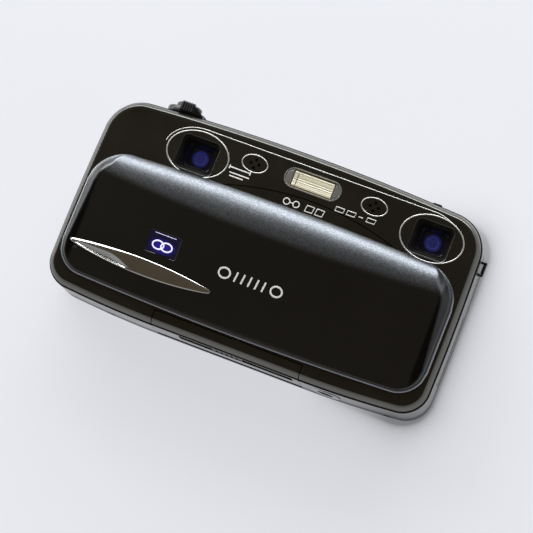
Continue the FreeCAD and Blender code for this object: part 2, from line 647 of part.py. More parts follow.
def battery_door(shell):
    lip = shell.common(box(DOOR_LEFT, DOOR_RIGHT, FRONT - 1, FRONT + PANEL_RIM, -1, DOOR_LIP))
    base = box(DOOR_LEFT, DOOR_RIGHT, FRONT + PANEL_RIM - 0.5, HINGE_Y, 0, DOOR_T)
    tools = [box(-15.5, 21.0, -7.2, -1.8, -1, 0.4), box(-5.1, 8.1, -6.6, -2.4, -1, 1.0)]
    tools += [box(x - 2.3, x + 2.3, HINGE_Y - 1.6, HINGE_Y + 1, -1, 3) for x in LUG_X]
    knuckles = []
    for x0, x1 in ((DOOR_LEFT + 1, -13.0), (13.0, DOOR_RIGHT - 1)):
        barrel = rod(1.2, x1 - x0, (x0, HINGE_Y, HINGE_Z), (1, 0, 0))
        web = box(x0, x1, HINGE_Y - 1.6, HINGE_Y, 0.6, HINGE_Z + 0.6)
        knuckles += [barrel, web]
    body = fuse(cut(fuse(lip, base), *tools), *knuckles)
    return body.cut(rod(HINGE_R + RUNNING, DOOR_RIGHT - DOOR_LEFT + 4, (DOOR_LEFT - 2, HINGE_Y, HINGE_Z), (1, 0, 0)))


def door_latch():
    knob = box(-4.9, 4.9, -6.4, -2.6, 0.12, 0.95)
    return cut(knob, *[box(-3.6 + 1.6 * i, -3.0 + 1.6 * i, -6.5, -2.5, 0.0, 0.35) for i in range(5)])


def hinge_pin():
    return rod(HINGE_R, DOOR_RIGHT - DOOR_LEFT - 2, (DOOR_LEFT + 1, HINGE_Y, HINGE_Z), (1, 0, 0))


def tripod_bush():
    body = fuse(rod(BUSH_R + 2.1, BUSH_DEEP + 1.0, (BUSH_X, 0, 0.0), (0, 0, 1)))
    return body.cut(rod(BUSH_R, BUSH_DEEP, (BUSH_X, 0, 0.0), (0, 0, 1)))


# ---- top, sides and back controls ----
def zoom_ring():
    z0 = HEIGHT - 0.55
    ring = rod(ZOOM_R, 1.9, (ZOOM_X, ZOOM_Y, z0), (0, 0, 1))
    lever = box(ZOOM_X - 1.0, ZOOM_X + 3.2, ZOOM_Y - ZOOM_R - 1.2, ZOOM_Y - ZOOM_R + 1.8, z0, z0 + 3.2)
    ribs = [box(ZOOM_X - 0.8 + 0.8 * i, ZOOM_X - 0.4 + 0.8 * i, ZOOM_Y - ZOOM_R - 1.4, ZOOM_Y - ZOOM_R - 0.9,
                z0 + 0.2, z0 + 3.0) for i in range(5)]
    neck = rod(2.2, 4.0, (ZOOM_X, ZOOM_Y, z0 - 3.6), (0, 0, 1))
    flange = rod(3.6, 0.8, (ZOOM_X, ZOOM_Y, z0 - 3.8), (0, 0, 1))
    body = cut(fuse(ring, lever, neck, flange), *ribs)
    return cut(body, rod(BUTTON_R + RUNNING, 2, (ZOOM_X, ZOOM_Y, z0 + 0.7), (0, 0, 1)),
               rod(1.2 + RUNNING, 12, (ZOOM_X, ZOOM_Y, z0 - 6), (0, 0, 1)))


def shutter_button():
    z0 = HEIGHT - 0.55
    cap = rod(BUTTON_R, 1.9, (ZOOM_X, ZOOM_Y, z0 + 1.6), (0, 0, 1))
    top = [e for e in cap.Edges if abs(e.BoundBox.ZMin - (z0 + 3.5)) < 0.01]
    return fuse(cap.makeFillet(0.5, top), rod(1.2, 6.2, (ZOOM_X, ZOOM_Y, z0 - 4.4), (0, 0, 1)))


def parallax_lever():
    z0 = HEIGHT - 4.0
    knob = box(41.0, 43.6, -5.2, -2.8, z0 + 0.7, HEIGHT - 0.5)
    return fuse(knob, box(39.0, 45.6, -6.4, -1.6, z0, z0 + 0.7))


def round_key(name, proud, stem):
    x, z, r = controls_back()[name]
    key = rod(r, proud + WALL + 0.6, (x, BACK - WALL - 0.6, z), (0, 1, 0))
    rim = [e for e in key.Edges if abs(e.BoundBox.YMin - (BACK + proud)) < 0.01]
    key = key.makeFillet(0.3, rim)
    return fuse(key, rod(r + 0.5, 0.6, (x, BACK - WALL - 0.9, z), (0, 1, 0))) if stem else key


def mode_dial():
    x, z, r = controls_back()["mode_dial"]
    body = round_key("mode_dial", 0.9, True)
    teeth = [rod(0.22, 2, (x + r * math.cos(t), BACK + 0.0, z + r * math.sin(t)), (0, 1, 0))
             for t in [2 * math.pi * i / 40 for i in range(40)]]
    return cut(body, *teeth)


def menu_pad():
    x, z, r = controls_back()["menu_pad"]
    return round_key("menu_pad", 0.5, True).cut(rod(2.6 + RUNNING, 9, (x, BACK - 6, z), (0, 1, 0)))


def ok_button():
    x, z, r = controls_back()["menu_pad"]
    key = rod(2.6, 3.2, (x, BACK - 2.4, z), (0, 1, 0))
    rim = [e for e in key.Edges if abs(e.BoundBox.YMin - (BACK + 0.8)) < 0.01]
    return key.makeFillet(0.3, rim)


def terminal_cover():
    y0 = TERMINAL_Y[0]
    z0, z1 = TERMINAL_Z
    lid = slab(0.0, y0 + 0.1, PIN_Y).common(box(HALF - 1.4, HALF + 1, y0, PIN_Y, z0 + 0.1, z1 - 0.1))
    barrel = rod(0.85, z1 - z0 - 0.4, (PIN_X, PIN_Y, z0 + 0.2), (0, 0, 1))
    bore = rod(0.35, z1 - z0 + 4, (PIN_X, PIN_Y, z0 - 2), (0, 0, 1))
    return fuse(lid, barrel).cut(bore)


def terminal_pin():
    z0, z1 = TERMINAL_Z
    return rod(0.35 - RUNNING, z1 - z0, (PIN_X, PIN_Y, z0), (0, 0, 1))


def side_sockets():
    y = (TERMINAL_Y[0] + 1.2, TERMINAL_Y[1] - 2.0)
    mouth = HALF - 2.2
    back = max(mouth - SOCKET_DEEP, LENS_X[1] + UNIT_W / 2 + 0.8)
    shells = []
    for z0, h in ((TERMINAL_Z[0] + 1.6, 7.6), (TERMINAL_Z[1] - 11.8, 10.4)):
        outer = box(back, mouth, y[0], y[1], z0, z0 + h)
        shells.append(outer.cut(box(back + 0.6, HALF, y[0] + 0.35, y[1] - 0.35, z0 + 0.35, z0 + h - 0.35)))
    return shells


def strap_eyelet():
    x_in, x_out = HALF - 3.2, HALF + 0.6
    legs = [rod(0.5, x_out - x_in, (x_in, -1, EYELET_Z + s), (1, 0, 0)) for s in (-1.9, 1.9)]
    bar = rod(0.5, 3.8, (x_out, -1, EYELET_Z - 1.9), (0, 0, 1))
    balls = [Part.makeSphere(0.5, Vec(x_out, -1, EYELET_Z + s)) for s in (-1.9, 1.9)]
    return fuse(bar, *legs, *balls)


def case_screws():
    found = []
    for x in SCREW_X:
        z = base_rise(x)
        head = rod(1.5, 0.6, (x, SCREW_Y, z + 0.2), (0, 0, 1)).cut(rod(0.5, 0.3, (x, SCREW_Y, z + 0.2), (0, 0, 1)))
        found.append(fuse(rod(0.8, 3.2, (x, SCREW_Y, z + 0.7), (0, 0, 1)), head))
    return found


def speaker():
    return fuse(rod(4.6, 2.2, (SIDE_X, BACK - WALL - 2.4, 14.0), (0, 1, 0)),
                rod(3.2, 0.9, (SIDE_X, BACK - WALL - 3.2, 14.0), (0, 1, 0)))


def flash_capacitor():
    return rod(4.0, 26.0, (-49.6, -1.5, 14.0), (0, 0, 1))


# ---- write every node ----
SHELL = front_shell()
save("front_panel", front_panel(SHELL))
save("body_band", body_band())
save("rear_cover", rear_cover())
save("slide_cover", slide_cover())
save("cover_grip", cover_grip())
save("badge_window", badge_window())
save("cover_carriage", cover_carriage())
save("cover_screws", *cover_screws())
save("guide_rods", *cover_rods(), *unit_rods())
save("lens_rings", *lens_rings())
save("mic_rings", *mic_rings())
save("panel_trim", panel_trim())
save("microphones", *microphones())
for node, piece in zip(("flash_window", "flash_reflector", "xenon_tube"), flash_parts()):
    save(node, piece)
save("flash_capacitor", flash_capacitor())
save("lens_hoods", *[lens_hood(x) for x in LENS_X])
save("front_lenses", *[front_lens(x) for x in LENS_X])
save("fold_prisms", *[prism_block(x) for x in LENS_X])
save("lens_housings", *[lens_housing(x) for x in LENS_X])
save("image_sensors", *[image_sensor(x) for x in LENS_X])
save("zoom_motors", *[zoom_motor(x) for x in LENS_X])
for side, lens_x in (("left", LENS_X[0]), ("right", LENS_X[1])):
    zoom_low = LENS_Z - 11.6 - ZOOM_TRAVEL
    save("zoom_carriage_" + side, *lens_carriage(lens_x, zoom_low, 5.0, 2.4))
    save("focus_carriage_" + side, *lens_carriage(lens_x, UNIT_FLOOR + 4.0, 3.6, 2.2))
save("chassis", chassis())
save("main_board", main_board())
save("board_chips", *board_chips())
for node, piece in zip(("lcd_glass", "parallax_barrier", "lcd_panel", "lcd_backlight"), screen_parts()):
    save(node, piece)
CELL, BAY, BAY_FRONT = battery_parts()
save("battery", CELL)
save("battery_bay", BAY)
CARD_BODY, CARD_SLOT = card_parts(BAY_FRONT)
save("memory_card", CARD_BODY)
save("card_slot", CARD_SLOT)
save("battery_door", battery_door(SHELL))
save("door_latch", door_latch())
save("door_hinge_pin", hinge_pin())
save("tripod_bush", tripod_bush())
save("zoom_ring", zoom_ring())
save("shutter_button", shutter_button())
save("parallax_lever", parallax_lever())
save("mode_dial", mode_dial())
save("menu_pad", menu_pad())
save("ok_button", ok_button())
for node in ("button_playback", "button_display", "button_stereo", "button_photo", "button_movie"):
    save(node, round_key(node, 0.5, True))
save("terminal_cover", terminal_cover())
save("terminal_pin", terminal_pin())
save("side_sockets", *side_sockets())
save("strap_eyelet", strap_eyelet())
save("case_screws", *case_screws())
save("speaker", speaker())
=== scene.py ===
"""Looks of the stereo camera: finishes, pieces of finer form than the CAD, then stage, light and view."""
import math

import bmesh
import bpy
from mathutils import Matrix, Vector


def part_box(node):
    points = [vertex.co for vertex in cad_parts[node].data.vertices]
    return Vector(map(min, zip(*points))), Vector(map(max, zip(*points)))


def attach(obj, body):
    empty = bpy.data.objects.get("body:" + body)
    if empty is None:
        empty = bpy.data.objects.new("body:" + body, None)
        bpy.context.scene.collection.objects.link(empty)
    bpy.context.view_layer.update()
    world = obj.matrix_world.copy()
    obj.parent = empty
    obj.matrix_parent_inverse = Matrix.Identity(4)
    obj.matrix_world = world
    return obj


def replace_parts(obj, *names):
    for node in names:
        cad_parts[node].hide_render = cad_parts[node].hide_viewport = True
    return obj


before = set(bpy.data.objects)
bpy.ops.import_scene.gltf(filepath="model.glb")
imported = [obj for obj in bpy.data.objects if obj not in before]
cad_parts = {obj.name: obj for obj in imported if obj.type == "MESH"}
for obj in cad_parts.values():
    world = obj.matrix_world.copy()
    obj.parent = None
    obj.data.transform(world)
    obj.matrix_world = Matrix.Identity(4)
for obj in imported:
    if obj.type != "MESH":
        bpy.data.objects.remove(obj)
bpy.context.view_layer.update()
MM = 0.001

# ---- driving sizes, in millimetres, in the CAD's frame ----
HALF, HEIGHT, FRONT, BACK = 61.0, 64.9, -10.5, 10.5
TOP_R, BASE_R, BASE_FLAT, SIDE_R = 700.0, 330.0, 22.6, 720.0
CORNER_TOP, CORNER_BASE = 11.5, 8.5
RIM_IN, BEVEL_IN, BEVEL_DEEP = 0.45, 1.85, 2.0
PLATE_IN = 3.0                       # where the flat plate meets the swept rim
BAND_FRONT = -7.3                    # where the front panel and the door's lip meet the body band
DOOR_LEFT, DOOR_RIGHT, DOOR_LIP = -24.0, 23.0, 4.4
DOOR_SEAM = 0.26
LENS_X = (-29.96, 45.04)
LENS_Z = HEIGHT - 12.1
WELL_DROP = 0.4                      # the square wells sit this much lower than the lenses
MIC_X = (-12.6, 25.7)
MIC_Z = HEIGHT - 8.9
FLASH_X, FLASH_Z = 6.0, HEIGHT - 8.8
COVER_HALF, COVER_FOOT, COVER_TOP = 58.4, 4.85, 46.9
CREASE, RIDGE = 35.0, 6.8
ZOOM_X, ZOOM_Y, ZOOM_R = -39.8, -1.5, 6.2
SIDE_X = 51.8


# ---- finishes ----
class Wire:
    """A socket that adds, subtracts, multiplies and compares with plain signs."""

    def __init__(self, look, socket):
        self.look = look
        self.socket = socket

    def math(self, operation, *values):
        links = dict(enumerate((self, *values)))
        return self.look.add("ShaderNodeMath", {"operation": operation}, links)

    def __add__(self, other):
        return self.math("ADD", other)

    def __mul__(self, other):
        return self.math("MULTIPLY", other)

    def __sub__(self, other):
        return self.math("SUBTRACT", other)

    def __rsub__(self, other):
        return self.look.add("ShaderNodeMath", {"operation": "SUBTRACT"}, {0: other, 1: self})

    def __lt__(self, other):
        return self.math("LESS_THAN", other)

    __radd__ = __add__
    __rmul__ = __mul__


class Nodes:
    """A node tree, of a finish or of the air round the object."""

    def __init__(self, tree):
        self.tree = tree

    def add(self, kind, settings=None, links=None, out=0):
        node = self.tree.nodes.new(kind)
        for key, value in (settings or {}).items():
            if key == "stops":
                self.set_stops(node.color_ramp, value)
            else:
                setattr(node, key, value)
        for key, value in (links or {}).items():
            self.put(node.inputs[key], value)
        return Wire(self, node.outputs[out])

    def set_stops(self, ramp, stops):
        while len(ramp.elements) < len(stops):
            ramp.elements.new(0.5)
        for element, (place, color) in zip(ramp.elements, stops):
            element.position = place
            element.color = (*color, 1.0)

    def put(self, socket, value):
        if isinstance(value, Wire):
            self.tree.links.new(value.socket, socket)
        elif isinstance(value, tuple) and len(value) == 3 and socket.type == "RGBA":
            socket.default_value = (*value, 1.0)
        else:
            socket.default_value = value


class Finish(Nodes):
    """One material: a Principled shader, fed by wires."""

    def __init__(self, name, **sockets):
        self.material = bpy.data.materials.new(name)
        self.material.use_nodes = True
        super().__init__(self.material.node_tree)
        self.shader = self.tree.nodes["Principled BSDF"]
        for key, value in sockets.items():
            self.feed(key.replace("_", " "), value)

    def feed(self, name, value):
        self.put(self.shader.inputs[name], value)

    def place(self):
        """Where the surface is in the frame, in millimetres: three wires."""
        where = self.add("ShaderNodeTexCoord", out="Object")
        scaled = self.add("ShaderNodeVectorMath", {"operation": "SCALE"}, {0: where, "Scale": 1 / MM})
        node = self.add("ShaderNodeSeparateXYZ", None, {"Vector": scaled}).socket.node
        return [Wire(self, socket) for socket in node.outputs]

    def noise(self, scale, detail=2.0, stretch=(1, 1, 1)):
        where = self.add("ShaderNodeTexCoord", out="Object")
        where = self.add("ShaderNodeVectorMath", {"operation": "MULTIPLY"}, {0: where, 1: stretch})
        return self.add("ShaderNodeTexNoise", None, {"Vector": where, "Scale": scale, "Detail": detail})

    def mix(self, share, first, second):
        return self.add("ShaderNodeMix", {"data_type": "RGBA"}, {0: share, 6: first, 7: second}, 2)

    def clamped(self, value, slope):
        """A value times a slope, kept between 0 and 1."""
        return self.add("ShaderNodeMath", {"operation": "MULTIPLY", "use_clamp": True}, {0: value, 1: slope})

    def relief(self, height, depth, strength=1.0):
        settings = {"Height": height, "Distance": depth * MM, "Strength": strength}
        self.feed("Normal", self.add("ShaderNodeBump", None, settings))
        return self


def satin(name, color, rough, grain_size, grain_depth, spread=0.06, **sockets):
    """A fine-grained finish: small bumps of one size in millimetres, and a cloudy change of gloss."""
    look = Finish(name, **sockets)
    grain = look.noise(1 / MM / grain_size, 1.0)
    cloud = look.noise(60.0, 2.0)
    deep = tuple(c * 0.82 for c in color)
    look.feed("Base Color", look.mix(cloud, deep, color))
    look.feed("Roughness", (cloud - 0.5) * (2 * spread) + (grain - 0.5) * spread + rough)
    return look.relief(grain, grain_depth)


case_black = satin("case_black", (0.145, 0.141, 0.126), 0.24, 0.16, 0.004, Metallic=1.0)
band_black = satin("band_black", (0.15, 0.15, 0.150), 0.24, 0.18, 0.004, Metallic=1.0)
back_black = satin("back_black", (0.020, 0.020, 0.020), 0.40, 0.30, 0.010)
moulded = satin("moulded", (0.018, 0.018, 0.018), 0.46, 0.3, 0.012)
key_black = satin("key_black", (0.022, 0.022, 0.023), 0.30, 0.3, 0.004)
hood_black = satin("hood_black", (0.020, 0.019, 0.016), 0.22, 0.3, 0.004)
# The faint rings seen inside the lenses glow: painted glints.
lens_glint = satin("lens_glint", (0.10, 0.12, 0.50), 0.2, 0.4, 0.001, 0.02,
                   Emission_Color=(0.10, 0.12, 0.50), Emission_Strength=0.30)
hood_navy = satin("hood_navy", (0.008, 0.011, 0.050), 0.16, 0.3, 0.003, Coat_Weight=0.6)
chrome = satin("chrome", (0.84, 0.83, 0.81), 0.15, 1.2, 0.001, 0.03, Metallic=1.0)
ring_metal = satin("ring_metal", (0.80, 0.78, 0.72), 0.30, 0.4, 0.002, 0.04, Metallic=0.7)
steel = satin("steel", (0.42, 0.42, 0.43), 0.34, 0.25, 0.006, Metallic=1.0)
dark_metal = satin("dark_metal", (0.07, 0.07, 0.072), 0.30, 0.2, 0.004, Metallic=1.0)
board_green = satin("board_green", (0.015, 0.09, 0.045), 0.35, 0.5, 0.01)
cell_grey = satin("cell_grey", (0.09, 0.09, 0.10), 0.45, 0.4, 0.01)
# The lens glass glows a little blue: painted light.
lens_blue_glow = satin("lens_blue_glow", (0.030, 0.040, 0.26), 0.06, 2.0, 0.0005, 0.01, Coat_Weight=1.0,
                  Emission_Color=(0.05, 0.06, 0.40), Emission_Strength=0.16)
# White ink that also glows a little: print, with painted light.
white_ink_glow = satin("white_ink_glow", (0.80, 0.80, 0.78), 0.45, 0.4, 0.002,
                   Emission_Color=(0.9, 0.9, 0.88), Emission_Strength=0.26)
flash_clear = satin("flash_clear", (0.42, 0.42, 0.40), 0.22, 0.35, 0.05, 0.2, Metallic=0.6)
flash_frame = satin("flash_frame", (0.75, 0.75, 0.72), 0.22, 0.3, 0.004, Metallic=0.8)


def cover_finish():
    """Black anodised metal: sandy grain on the ridge, painted lighter and bluer there as a painted sheen, a
    smoother face, a painted highlight along the lip, and painted shade that turns the end flanks near black.
    """
    look = Finish("cover_black", Metallic=1.0)
    sand = look.noise(2300.0, 1.0)
    fine = look.noise(5200.0, 0.0)
    cloud = look.noise(45.0, 2.0)
    x, y, z = look.place()
    # Painted shade: the end flanks, out past the ridge's ends and standing off the panel, are painted near
    # black.
    out = look.clamped(x.math("ABSOLUTE") - 53.8, 1.4) * look.clamped(-12.3 - y, 1.2)
    ridge = look.clamped(z - 34.6 - x * x * 0.00072, 0.5)
    # Painted highlight: the lip close to the panel, below the ridge, is painted a light blue-grey.
    lip = look.clamped(y + 12.42, 3.0) * look.clamped(40.0 - z, 0.3)
    plain = look.mix(cloud, (0.086, 0.085, 0.080), (0.100, 0.099, 0.094))
    # Sandy grain, painted lighter and bluer on the ridge as a painted sheen.
    sand_and_sheen = look.mix((sand - 0.36) * 2.6, (0.098, 0.101, 0.106), (0.172, 0.180, 0.194))
    face = look.mix(out, look.mix(ridge, plain, sand_and_sheen), (0.030, 0.030, 0.030))
    look.feed("Base Color", look.mix(lip, face, (0.27, 0.28, 0.30)))
    look.feed("Roughness", (fine - 0.5) * 0.10 + (cloud - 0.5) * 0.04 + ridge * 0.07 + 0.30)
    return look.relief((sand * 0.6 + fine * 0.4) * (ridge * 0.85 + 0.15), 0.024)


def screen_finish():
    """Dark glass: a slightly lighter, greener field inside a black printed border."""
    look = Finish("screen_glass", Coat_Weight=1.0, Coat_Roughness=0.03)
    x, _, z = look.place()
    inside = (x.math("ABSOLUTE") < 35.4) * ((z - 33.6).math("ABSOLUTE") < 20.4)
    cells = look.noise(2500.0, 0.0)
    look.feed("Base Color", look.mix(inside, (0.004, 0.004, 0.0045), (0.013, 0.015, 0.016)))
    look.feed("Roughness", cells * 0.04 + inside * 0.06 + 0.05)
    return look


def reflector_finish():
    """Cream reflector behind a window pressed with fine level ribs, glowing cream: painted light."""
    look = Finish("flash_cream_glow", Coat_Weight=0.6)
    _, _, z = look.place()
    ribs = (z * 7.4).math("SINE") * 0.5 + 0.5
    streak = look.noise(240.0, 2.0, (0.25, 1, 6))
    look.feed("Base Color", look.mix(ribs * 0.55 + streak * 0.45, (0.50, 0.45, 0.30), (0.92, 0.87, 0.68)))
    look.feed("Roughness", streak * 0.2 + 0.25)
    # Painted light: the reflector and tube glow cream, brighter on the ribs.
    look.feed("Emission Color", look.mix(ribs, (0.50, 0.44, 0.30), (0.95, 0.88, 0.66)))
    look.feed("Emission Strength", 0.22)
    return look.relief(ribs, 0.06)


def badge_finish():
    """A dark window with a painted blue glow, brightest low down."""
    look = Finish("badge_blue_glow", Coat_Weight=0.5)
    x, _, z = look.place()
    near = 1.0 - ((x + 28.3) * (x + 28.3) * 0.050 + (z - 22.2) * (z - 22.2) * 0.16).math("MINIMUM", 1.0)
    haze = look.noise(300.0, 2.0)
    look.feed("Base Color", look.mix(haze, (0.004, 0.004, 0.012), (0.006, 0.006, 0.020)))
    look.feed("Roughness", haze * 0.1 + 0.12)
    # Painted light: a blue glow, strongest round a spot low in the window.
    look.feed("Emission Color", look.mix(near, (0.003, 0.002, 0.016), (0.020, 0.011, 0.23)))
    look.feed("Emission Strength", 1.0)
    return look


def glow_finish():
    # The badge's signs glow pale blue: painted light.
    look = Finish("badge_glow")
    haze = look.noise(400.0, 1.0)
    look.feed("Base Color", (0.7, 0.7, 0.9))
    look.feed("Roughness", haze * 0.1 + 0.3)
    look.feed("Emission Color", look.mix(haze, (0.62, 0.62, 1.0), (0.80, 0.80, 1.0)))
    look.feed("Emission Strength", 0.9)
    return look


cover_black = cover_finish()
screen_glass = screen_finish()
flash_cream_glow = reflector_finish()
badge_blue_glow = badge_finish()
badge_glow = glow_finish()

NODE_FINISH = {
    "front_panel": case_black, "body_band": band_black, "rear_cover": back_black, "slide_cover": cover_black,
    "cover_grip": chrome, "badge_window": badge_blue_glow, "cover_carriage": steel, "cover_screws": steel,
    "guide_rods": steel, "lens_rings": ring_metal, "mic_rings": ring_metal, "panel_trim": ring_metal,
    "microphones": moulded, "flash_window": flash_clear, "flash_reflector": flash_cream_glow,
    "xenon_tube": flash_cream_glow, "flash_capacitor": moulded, "lens_hoods": hood_black,
    "front_lenses": lens_blue_glow, "fold_prisms": lens_blue_glow, "lens_housings": moulded,
    "image_sensors": board_green, "zoom_motors": steel,
    "zoom_carriage_left": moulded, "focus_carriage_left": moulded, "zoom_carriage_right": moulded,
    "focus_carriage_right": moulded, "chassis": steel, "main_board": board_green, "board_chips": moulded,
    "lcd_glass": screen_glass, "parallax_barrier": screen_glass, "lcd_panel": screen_glass,
    "lcd_backlight": moulded, "battery": cell_grey, "battery_bay": moulded, "memory_card": moulded,
    "card_slot": steel, "battery_door": band_black, "door_latch": moulded, "door_hinge_pin": steel,
    "tripod_bush": steel, "zoom_ring": dark_metal, "shutter_button": dark_metal, "parallax_lever": moulded,
    "mode_dial": dark_metal, "menu_pad": key_black, "ok_button": dark_metal, "button_playback": key_black,
    "button_display": key_black, "button_stereo": key_black, "button_photo": key_black,
    "button_movie": key_black, "terminal_cover": band_black, "terminal_pin": steel, "side_sockets": steel,
    "strap_eyelet": dark_metal, "case_screws": steel, "speaker": moulded,
}
for node, look in NODE_FINISH.items():
    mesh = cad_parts[node].data
    mesh.materials.clear()
    mesh.materials.append(look.material)


# ---- form helpers, all in millimetres ----
def settle(name, mesh, look, body, angle):
    """A finished mesh as a piece riding on a body, smooth but for edges sharper than the angle."""
    mesh.materials.clear()
    mesh.materials.append(look.material)
    mesh.shade_smooth()
    mesh.set_sharp_from_angle(angle=math.radians(angle))
    piece = bpy.data.objects.new(name, mesh)
    bpy.context.scene.collection.objects.link(piece)
    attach(piece, body)
    return piece


def build(name, points, faces, look, body, angle=35.0):
    """A mesh piece from points and faces, in millimetres."""
    mesh = bpy.data.meshes.new(name)
    mesh.from_pydata([Vector(p) * MM for p in points], [], faces)
    form = bmesh.new()
    form.from_mesh(mesh)
    bmesh.ops.remove_doubles(form, verts=form.verts, dist=2e-7)
    bmesh.ops.recalc_face_normals(form, faces=form.faces)
    form.to_mesh(mesh)
    form.free()
    return settle(name, mesh, look, body, angle)


def skin(rings, closed=True, caps=False):
    """Points and faces over rings of equal length."""
    count = len(rings[0])
    points = [p for ring in rings for p in ring]
    faces = []
    for r in range(len(rings) - 1):
        for i in range(count if closed else count - 1):
            k = (i + 1) % count
            faces.append((r * count + i, r * count + k, (r + 1) * count + k, (r + 1) * count + i))
    if caps:
        faces.append(tuple(range(count - 1, -1, -1)))
        faces.append(tuple(range((len(rings) - 1) * count, len(rings) * count)))
    return points, faces


def joined(*parts):
    """Several (points, faces) as one."""
    points, faces = [], []
    for more, sides in parts:
        base = len(points)
        points += more
        faces += [tuple(i + base for i in side) for side in sides]
    return points, faces


def smooth_min(a, b, soft):
    """The smaller of two values, rounded where they meet."""
    blend = max(soft - abs(a - b), 0.0) / soft
    return min(a, b) - blend * blend * soft / 4


def ease(t):
    """From 0 to 1 with a soft start and end."""
    t = min(max(t, 0.0), 1.0)
    return t * t * (3 - 2 * t)


def meet(a, ra, b, rb):
    """Where two circles cross: the crossing with the larger x."""
    gap = math.dist(a, b)
    along = (ra * ra - rb * rb + gap * gap) / (2 * gap)
    off = math.sqrt(ra * ra - along * along)
    ux, uz = (b[0] - a[0]) / gap, (b[1] - a[1]) / gap
    return max((a[0] + ux * along - uz * off * k, a[1] + uz * along + ux * off * k) for k in (1, -1))


def towards(centre, point):
    return math.atan2(point[1] - centre[1], point[0] - centre[0])


def arc(centre, r, start, end, count):
    """(x, z, outward x, outward z) along a circle, from one angle to another."""
    found = []
    for i in range(count + 1):
        t = start + (end - start) * i / count
        found.append((centre[0] + r * math.cos(t), centre[1] + r * math.sin(t), math.cos(t), math.sin(t)))
    return found


def case_loop():
    """The case outline, anticlockwise from the middle of the base, with outward directions."""
    side, crown, foot = (HALF - SIDE_R, HEIGHT * 0.385), (0.0, HEIGHT - TOP_R), (BASE_FLAT, BASE_R)
    high = meet(side, SIDE_R - CORNER_TOP, crown, TOP_R - CORNER_TOP)
    low = meet(side, SIDE_R - CORNER_BASE, foot, BASE_R - CORNER_BASE)
    half = [(x, 0.0, 0.0, -1.0) for x in (0.0, 6.0, 12.0, 18.0)]
    half += arc(foot, BASE_R, -math.pi / 2, towards(foot, low), 26)
    half += arc(low, CORNER_BASE, towards(foot, low), towards(side, low), 28)[1:]
    half += arc(side, SIDE_R, towards(side, low), towards(side, high), 16)[1:]
    half += arc(high, CORNER_TOP, towards(side, high), towards(crown, high), 34)[1:]
    half += arc(crown, TOP_R, towards(crown, high), math.pi / 2, 30)[1:]
    return half + [(-x, z, -nx, nz) for x, z, nx, nz in half[-2:0:-1]]


CASE = case_loop()


def swept(loop, profile):
    """One ring per profile point, which is (inset, y)."""
    return [[(x - nx * inset, y, z - nz * inset) for x, z, nx, nz in loop] for inset, y in profile]


def round_rect(cx, cz, w, h, r, count=8):
    """(x, z) round a rectangle with round corners, anticlockwise from the lower right."""
    r = min(r, w / 2 - 1e-3, h / 2 - 1e-3)
    found = []
    for sx, sz, start in ((1, -1, -90), (1, 1, 0), (-1, 1, 90), (-1, -1, 180)):
        centre = (cx + sx * (w / 2 - r), cz + sz * (h / 2 - r))
        found += [p[:2] for p in arc(centre, r, math.radians(start), math.radians(start + 90), count)]
    return found


def ellipse(cx, cz, a, b, start=0.0, end=360.0, count=96):
    turns = [math.radians(start + (end - start) * i / count) for i in range(count + (end - start < 359))]
    return [(cx + a * math.cos(t), cz + b * math.sin(t)) for t in turns]


def bead(path, y_of, wide, high, closed=True):
    """A half-round bead along a path of (x, z), standing on the surface y_of(x, z)."""
    count = len(path)
    rings = []
    for i, (x, z) in enumerate(path):
        before = path[i - 1] if i or closed else path[0]
        after = path[(i + 1) % count] if i < count - 1 or closed else path[-1]
        tx, tz = after[0] - before[0], after[1] - before[1]
        size = math.hypot(tx, tz)
        nx, nz = -tz / size, tx / size
        ring = []
        for k in range(7):
            t = math.pi * k / 6
            px, pz = x + nx * wide / 2 * math.cos(t), z + nz * wide / 2 * math.cos(t)
            ring.append((px, y_of(px, pz) + 0.03 - (high + 0.03) * math.sin(t), pz))
        rings.append(ring)
    if closed:
        rings.append(rings[0])
    return skin(rings, closed=True, caps=not closed)


def level(y):
    """A flat surface at y, for beads to stand on."""
    return lambda _x, _z: y


on_panel = level(FRONT)


def turns(count):
    """Angles once round a circle."""
    return [2 * math.pi * i / count for i in range(count)]


def flat_plate(name, outlines, y, thick, look, body, lying=False):
    """A flat plate: the first outline is its edge, the rest are holes. Lying, it is level."""
    curve = bpy.data.curves.new(name, "CURVE")
    curve.dimensions = "2D"
    curve.fill_mode = "BOTH"
    curve.extrude = thick / 2 * MM
    for outline in outlines:
        spline = curve.splines.new("POLY")
        spline.points.add(len(outline) - 1)
        for point, (x, z) in zip(spline.points, outline):
            point.co = (x * MM, z * MM, 0.0, 1.0)
        spline.use_cyclic_u = True
    item = bpy.data.objects.new(name + "_curve", curve)
    bpy.context.scene.collection.objects.link(item)
    bpy.context.view_layer.update()
    mesh = bpy.data.meshes.new_from_object(item.evaluated_get(bpy.context.evaluated_depsgraph_get()))
    bpy.data.objects.remove(item)
    stand = Matrix.Identity(4) if lying else Matrix.Rotation(math.radians(90), 4, "X")
    shift = Vector((0, 0, y + thick / 2)) if lying else Vector((0, y + thick / 2, 0))
    mesh.transform(Matrix.Translation(shift * MM) @ stand)
    settle(name, mesh, look, body, 30.0)


